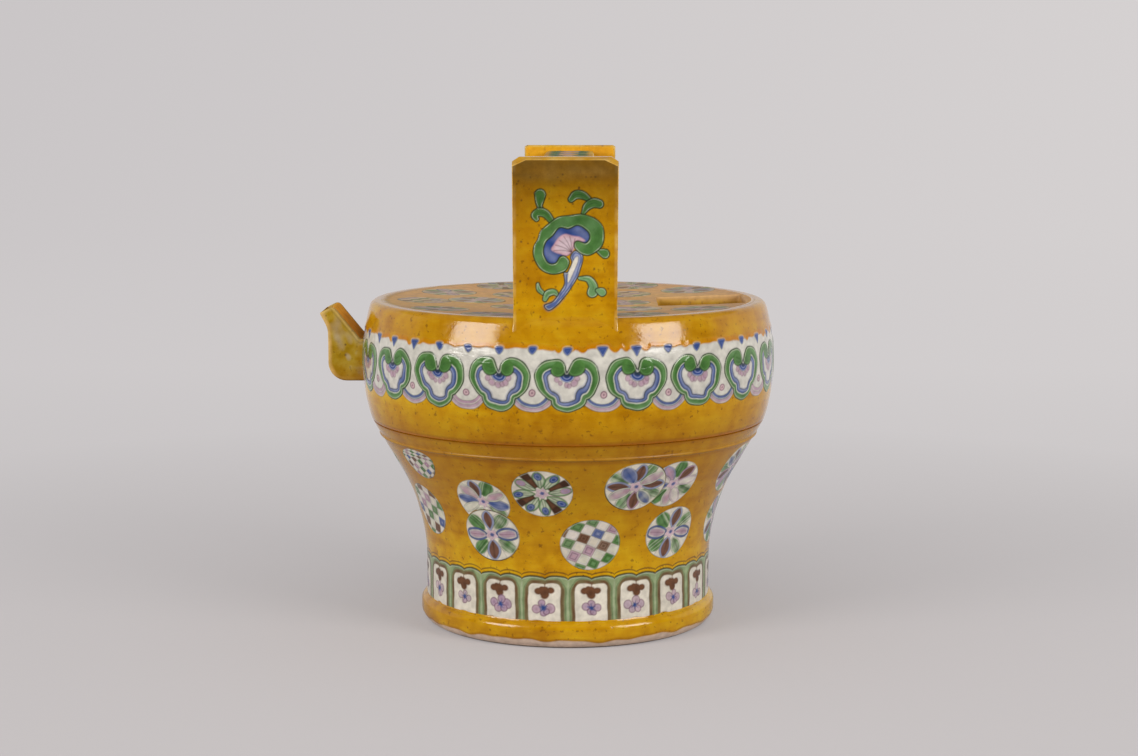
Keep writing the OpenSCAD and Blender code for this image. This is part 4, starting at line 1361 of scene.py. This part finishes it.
# Spout of bent and cut slabs
spout = {"slab": 2.8, "lipSlab": 1.2, "round": 8.5, "lipZ": 137.5, "frontX": -111.3,
         "tip": (-115.0, 145.2), "mouth": (-108.9, 148.4), "root": -93.5, "roofRoot": (-96.3, 133.0),
         "edge": 0.7, "middle": (-105.0, 128.0), "soften": 2.2, "step": 0.6, "seed": 41,
         "rubbed": [  # place, radius, tallness and softness of a rubbed spot
             (-107.4, 137.6, 1.3, 2.2, 4.0), (-106.0, 132.5, 1.2, 1.6, 4.0),
             (-101.0, 134.0, 1.2, 1.2, 3.0), (-102.0, 125.4, 0.8, 1.2, 1.8)]}


def bellyLine(inset, tipInset):
    x, z = spout["frontX"], spoutLow[2]
    r = spout["round"]
    turn = np.radians(np.linspace(270, 180, 12))
    bend = np.stack([x + r + (r - inset) * np.cos(turn), z + r + (r - inset) * np.sin(turn)], 1)
    tip = np.array(spout["tip"]) + tipInset * np.array([0.88, 0.47])
    neck = flow([bend[-1], (x + inset, spout["lipZ"] - 4), (x + inset - 0.5, spout["lipZ"] + 1.0), tip])
    return np.vstack([[(spout["root"], z + inset)], bend[:-1], neck])


def evenly(outline):  # the same outline with points close together
    ring = np.vstack([outline, outline[:1]])
    run = np.concatenate([[0], np.cumsum(np.linalg.norm(np.diff(ring, axis=0), axis=1))])
    at = np.linspace(0, run[-1], int(run[-1] / spout["step"]), endpoint=False)
    return np.stack([np.interp(at, run, ring[:, 0]), np.interp(at, run, ring[:, 1])], 1)


def slabShape(loops):  # points, faces and canvas of a slab, from outlines at their depths
    rings = [np.column_stack([ring[:, 0], np.full(len(ring), y), ring[:, 1]]) for ring, y in loops]
    points = np.vstack(rings)
    size = len(loops[0][0])
    faces = turnFaces([size] * len(loops), closed=False)
    faces += [list(range(size)), list(range(len(points) - size, len(points)))]
    return points, faces, newCanvas(points[:, 0], points[:, 2])


def makeCheek(name, node, outline, side):  # flat slab with eased edges, drawn in the spout's plane
    rng = np.random.default_rng(spout["seed"] + side)
    outline = evenly(outline)
    centre = np.array(spout["middle"])
    reach = np.linalg.norm(outline - centre, axis=1)[:, None]
    inward = (centre - outline) / reach
    bend = np.radians([0, 30, 60, 90])
    eased = [(spout["edge"] * (1 - math.sin(a)), spout["edge"] * (1 - math.cos(a))) for a in bend]
    outerY, innerY = cheekLow[1], cheekHigh[1]
    loops = []
    for share in np.linspace(0.02, 1, 24):
        loops.append((outline + inward * (spout["edge"] + (reach - spout["edge"]) * (1 - share)), outerY))
    loops += [(outline + inward * inset, outerY + depth) for inset, depth in eased[1:]]
    loops += [(outline + inward * inset, innerY - depth) for inset, depth in eased[::-1]]
    points, faces, canvas = slabShape(loops)
    x, z = canvas["x"], canvas["y"]
    gap = -loopDepth(canvas, outline)
    ragged = 0.5 * np.sin(1.3 * x + 0.7 * z) + 0.4 * np.sin(0.9 * z - 0.6 * x + 2)
    for along, up, radius, tall, soft in spout["rubbed"]:
        shift = rng.uniform(-0.4, 0.4, 2)
        rubbed = spot(canvas, along + shift[0], up + shift[1], radius, tall) + ragged
        lay(canvas, rubbed, "haze", soft=soft, strength=0.7)
    # the sand band along the front edge is a painted highlight
    front = lineGap(canvas, bellyLine(0, 0)) - 1.7
    above = z - spoutLow[2]
    lay(canvas, front + 0.3 * ragged, "sand", soft=1.0, strength=0.65 * np.clip(above / 6, 0.2, 1))
    worn = 0.45 * unit(above / 6) * (x < spout["root"] - 4)
    lay(canvas, np.abs(gap - 0.5) - 0.5, "worn", soft=1.2, strength=worn)
    # painted shade in the corner under the spout by the wall
    shadedHeel = spot(canvas, spout["root"] - 3.0, spoutLow[2] + 4.0, 1.0, 1.5)
    lay(canvas, shadedHeel, "treacle", soft=7.0, strength=0.6)
    # olive along the bottom edge is painted shade under the spout
    lay(canvas, above - 0.6, "olive", soft=1.4, strength=0.6)
    ridge = lineGap(canvas, [spout["mouth"], spout["roofRoot"]])
    lay(canvas, np.abs(ridge - 1.6) - 0.15, "olive", soft=0.7, strength=0.6)
    byWall = unit(1 - (spout["root"] - 2.5 - x) / 3.5)
    # darker next to the wall, and darker towards the bottom edge as painted shade
    canvas["pool"] = 0.3 * byWall + 0.5 * unit((spoutLow[2] + 9 - z) / 9)
    points[:, 1] *= -side
    piece = finishMesh(name, points, faces, canvas, sharpAngle=50, faceOut=True)
    seat(piece, scuffedGlaze, "olive_glaze", node)


def makeStrip(name, node, outline, pool, bright):  # bent slab from cheek to cheek
    outline = evenly(outline)
    reach = cheekLow[1] + (cheekHigh[1] - cheekLow[1]) * 0.9
    rows = np.linspace(reach, -reach, 18)
    points, faces, canvas = slabShape([(outline, y) for y in rows])
    canvas["pool"] = unit(pool(canvas["x"]))
    canvas["dry"] += 0.6
    # the honey laid over the drip orange is painted light, paler away from the wall
    lay(canvas, -1.0, "drip", strength=bright)
    lay(canvas, canvas["pool"] - 0.9, "honey", soft=1.0, strength=bright)
    piece = finishMesh(name, points, faces, canvas, sharpAngle=35, faceOut=True)
    seat(piece, scuffedGlaze, "olive_glaze", node)


def makeSpout():
    outer = bellyLine(0, 0)
    inner = bellyLine(spout["slab"], spout["lipSlab"])
    mouth, roofRoot = np.array(spout["mouth"]), np.array(spout["roofRoot"])
    back = [(spout["root"], roofRoot[1])]
    up = (mouth - outer[-1]) / np.linalg.norm(mouth - outer[-1])
    along = (roofRoot - mouth) / np.linalg.norm(roofRoot - mouth)
    t = np.linspace(0, 1, 7)[:, None]  # rounded upper corner
    corner = mouth - spout["soften"] * ((1 - t) ** 2 * up - t ** 2 * along)
    side = np.vstack([outer, corner, [roofRoot], back])
    makeCheek("spoutFrontCheek", "spout_front_cheek", side, -1)
    makeCheek("spoutRearCheek", "spout_rear_cheek", side, 1)
    belly = np.vstack([outer, inner[::-1]])
    makeStrip("spoutBelly", "spout_belly", belly, lambda x: np.full_like(x, 0.35), 0.0)
    down = np.array([along[1], -along[0]])
    under = [(spout["root"], roofRoot[1] - 3.6), roofRoot + down * spout["slab"],
             mouth + down * spout["lipSlab"] - (0, 0.6)]
    roof = np.vstack([corner[2:], [roofRoot], back, under])
    # the roof strip is given painted light at 0.9, the belly strip none
    makeStrip("spoutRoof", "spout_roof", roof, lambda x: 0.3 + (x - mouth[0]) / 16, 0.9)


makeSpout()
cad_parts["base_disc"].data.materials.clear()
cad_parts["base_disc"].data.materials.append(biscuitClay)
print("spout and floor slab done")

# Studio: one pale sheet that turns up all round, two soft boxes and an even sky
studio = {"floorRadius": 2.6, "bend": 1.2, "wallTop": 2.4, "sheet": tone(199, 195, 197),
          "leftTone": tone(202, 198, 199), "rightTone": tone(213, 209, 209),
          "boxTurn": 53, "boxLift": 19, "boxAway": 1.6, "boxSize": (0.7, 0.58), "boxPower": 15.0,
          "sky": (1.0, 0.985, 0.97), "skyStrength": 0.64, "skyMirrored": 0.2, "columns": 96,
          "boxTone": (1.0, 0.965, 0.92), "boxAim": 0.12,
          "evenAway": (0.08, 0.6, 0.35, 1), "dimBehind": (-0.3, 0.5, 0.75, -0.1),
          "nearFar": (-0.4, 0.9, 0.86, 1), "leftRight": (-1.1, 1.1, 0, 1)}  # from, to and the values there


def makeStudio():
    look = studio
    bend = arcPoints(look["floorRadius"], look["bend"], look["bend"], -90, 0, 14)
    flat = np.stack([np.linspace(0.02, look["floorRadius"], 10)[:-1], np.zeros(9)], 1)
    profile = np.vstack([flat, bend, [(look["floorRadius"] + look["bend"], look["wallTop"])]])
    ring, turn = turnGrid([look["columns"]] * len(profile))
    radius, height = profile[ring].T
    points = np.stack([radius * np.sin(turn), -radius * np.cos(turn), height], 1) / mm
    faces = [face[::-1] for face in turnFaces([look["columns"]] * len(profile), closed=False)]
    faces.append(list(range(look["columns"] - 1, -1, -1)))
    sheet = finishMesh("paleSheet", points, faces)
    material, tree, shader, coords = newMaterial("paleSheet")
    drift = grain(tree, coords, 1.3, 2.0)
    colour = ramp(tree, drift, [(0.3, look["sheet"] * 0.97), (0.7, look["sheet"] * 1.03)])
    tree.links.new(colour, shader.inputs["Base Color"])
    shader.inputs["Roughness"].default_value = 0.9
    shader.inputs["Specular IOR Level"].default_value = 0.1
    # farther off the sheet is evenly lit, and reflections see that behind the pot
    away = addNode(tree, "ShaderNodeVectorMath", {"operation": "LENGTH"}, {0: coords}).outputs["Value"]
    rays = addNode(tree, "ShaderNodeLightPath").outputs
    place = addNode(tree, "ShaderNodeSeparateXYZ", None, {0: coords}).outputs
    mirrored = rays["Is Glossy Ray"]
    share = calc(tree, "MULTIPLY", spread(tree, away, *look["evenAway"]), rays["Is Camera Ray"])
    share = calc(tree, "MAXIMUM", share, mirrored)
    dimmed = calc(tree, "MULTIPLY", mirrored, spread(tree, place[1], *look["dimBehind"]))
    near = spread(tree, place[1], *look["nearFar"])
    across = spread(tree, place[0], *look["leftRight"])
    even = ramp(tree, across, [(0, look["leftTone"]), (1, look["rightTone"])])
    power = calc(tree, "SUBTRACT", near, dimmed)
    glow = addNode(tree, "ShaderNodeEmission", None, {"Color": even, "Strength": power}).outputs[0]
    both = addNode(tree, "ShaderNodeMixShader", None, {0: share, 1: shader.outputs[0], 2: glow})
    tree.links.new(both.outputs[0], tree.nodes["Material Output"].inputs["Surface"])
    sheet.data.materials.append(material)
    world = bpy.data.worlds.new("studioSky")
    scene.world = world
    world.use_nodes = True
    sky = world.node_tree.nodes["Background"]
    sky.inputs["Color"].default_value = (*look["sky"], 1)
    mirrored = addNode(world.node_tree, "ShaderNodeLightPath").outputs["Is Glossy Ray"]
    strength = spread(world.node_tree, mirrored, 0, 1, look["skyStrength"], look["skyMirrored"])
    world.node_tree.links.new(strength, sky.inputs["Strength"])
    for side in (-1, 1):
        turn, lift = math.radians(look["boxTurn"]) * side, math.radians(look["boxLift"])
        lamp = bpy.data.lights.new("softBox", "AREA")
        lamp.shape = "RECTANGLE"
        lamp.size, lamp.size_y = look["boxSize"]
        lamp.energy = look["boxPower"]
        lamp.color = look["boxTone"]
        place = bpy.data.objects.new("softBox", lamp)
        scene.collection.objects.link(place)
        away = look["boxAway"]
        place.location = (away * math.cos(lift) * math.sin(turn), -away * math.cos(lift) * math.cos(turn),
                          away * math.sin(lift) + look["boxAim"])
        place.rotation_euler = (math.pi / 2 - lift, 0, turn)


makeStudio()
print("studio done")

# Camera where the photograph was taken from
view = {"away": 1.0316, "turn": 0.7, "aside": 0.0005, "height": 0.2524, "dip": 7.68, "lens": 69.94,
        "sensor": 36.0}
cameraData = bpy.data.cameras.new("camera")
cameraData.lens = view["lens"]
cameraData.sensor_width = view["sensor"]
cameraData.sensor_fit = "HORIZONTAL"
camera = bpy.data.objects.new("camera", cameraData)
scene.collection.objects.link(camera)
viewTurn = math.radians(view["turn"])
camera.location = (view["away"] * math.sin(viewTurn) + view["aside"],
                   -view["away"] * math.cos(viewTurn), view["height"])
camera.rotation_euler = (math.radians(90 - view["dip"]), 0, viewTurn)
scene.camera = camera
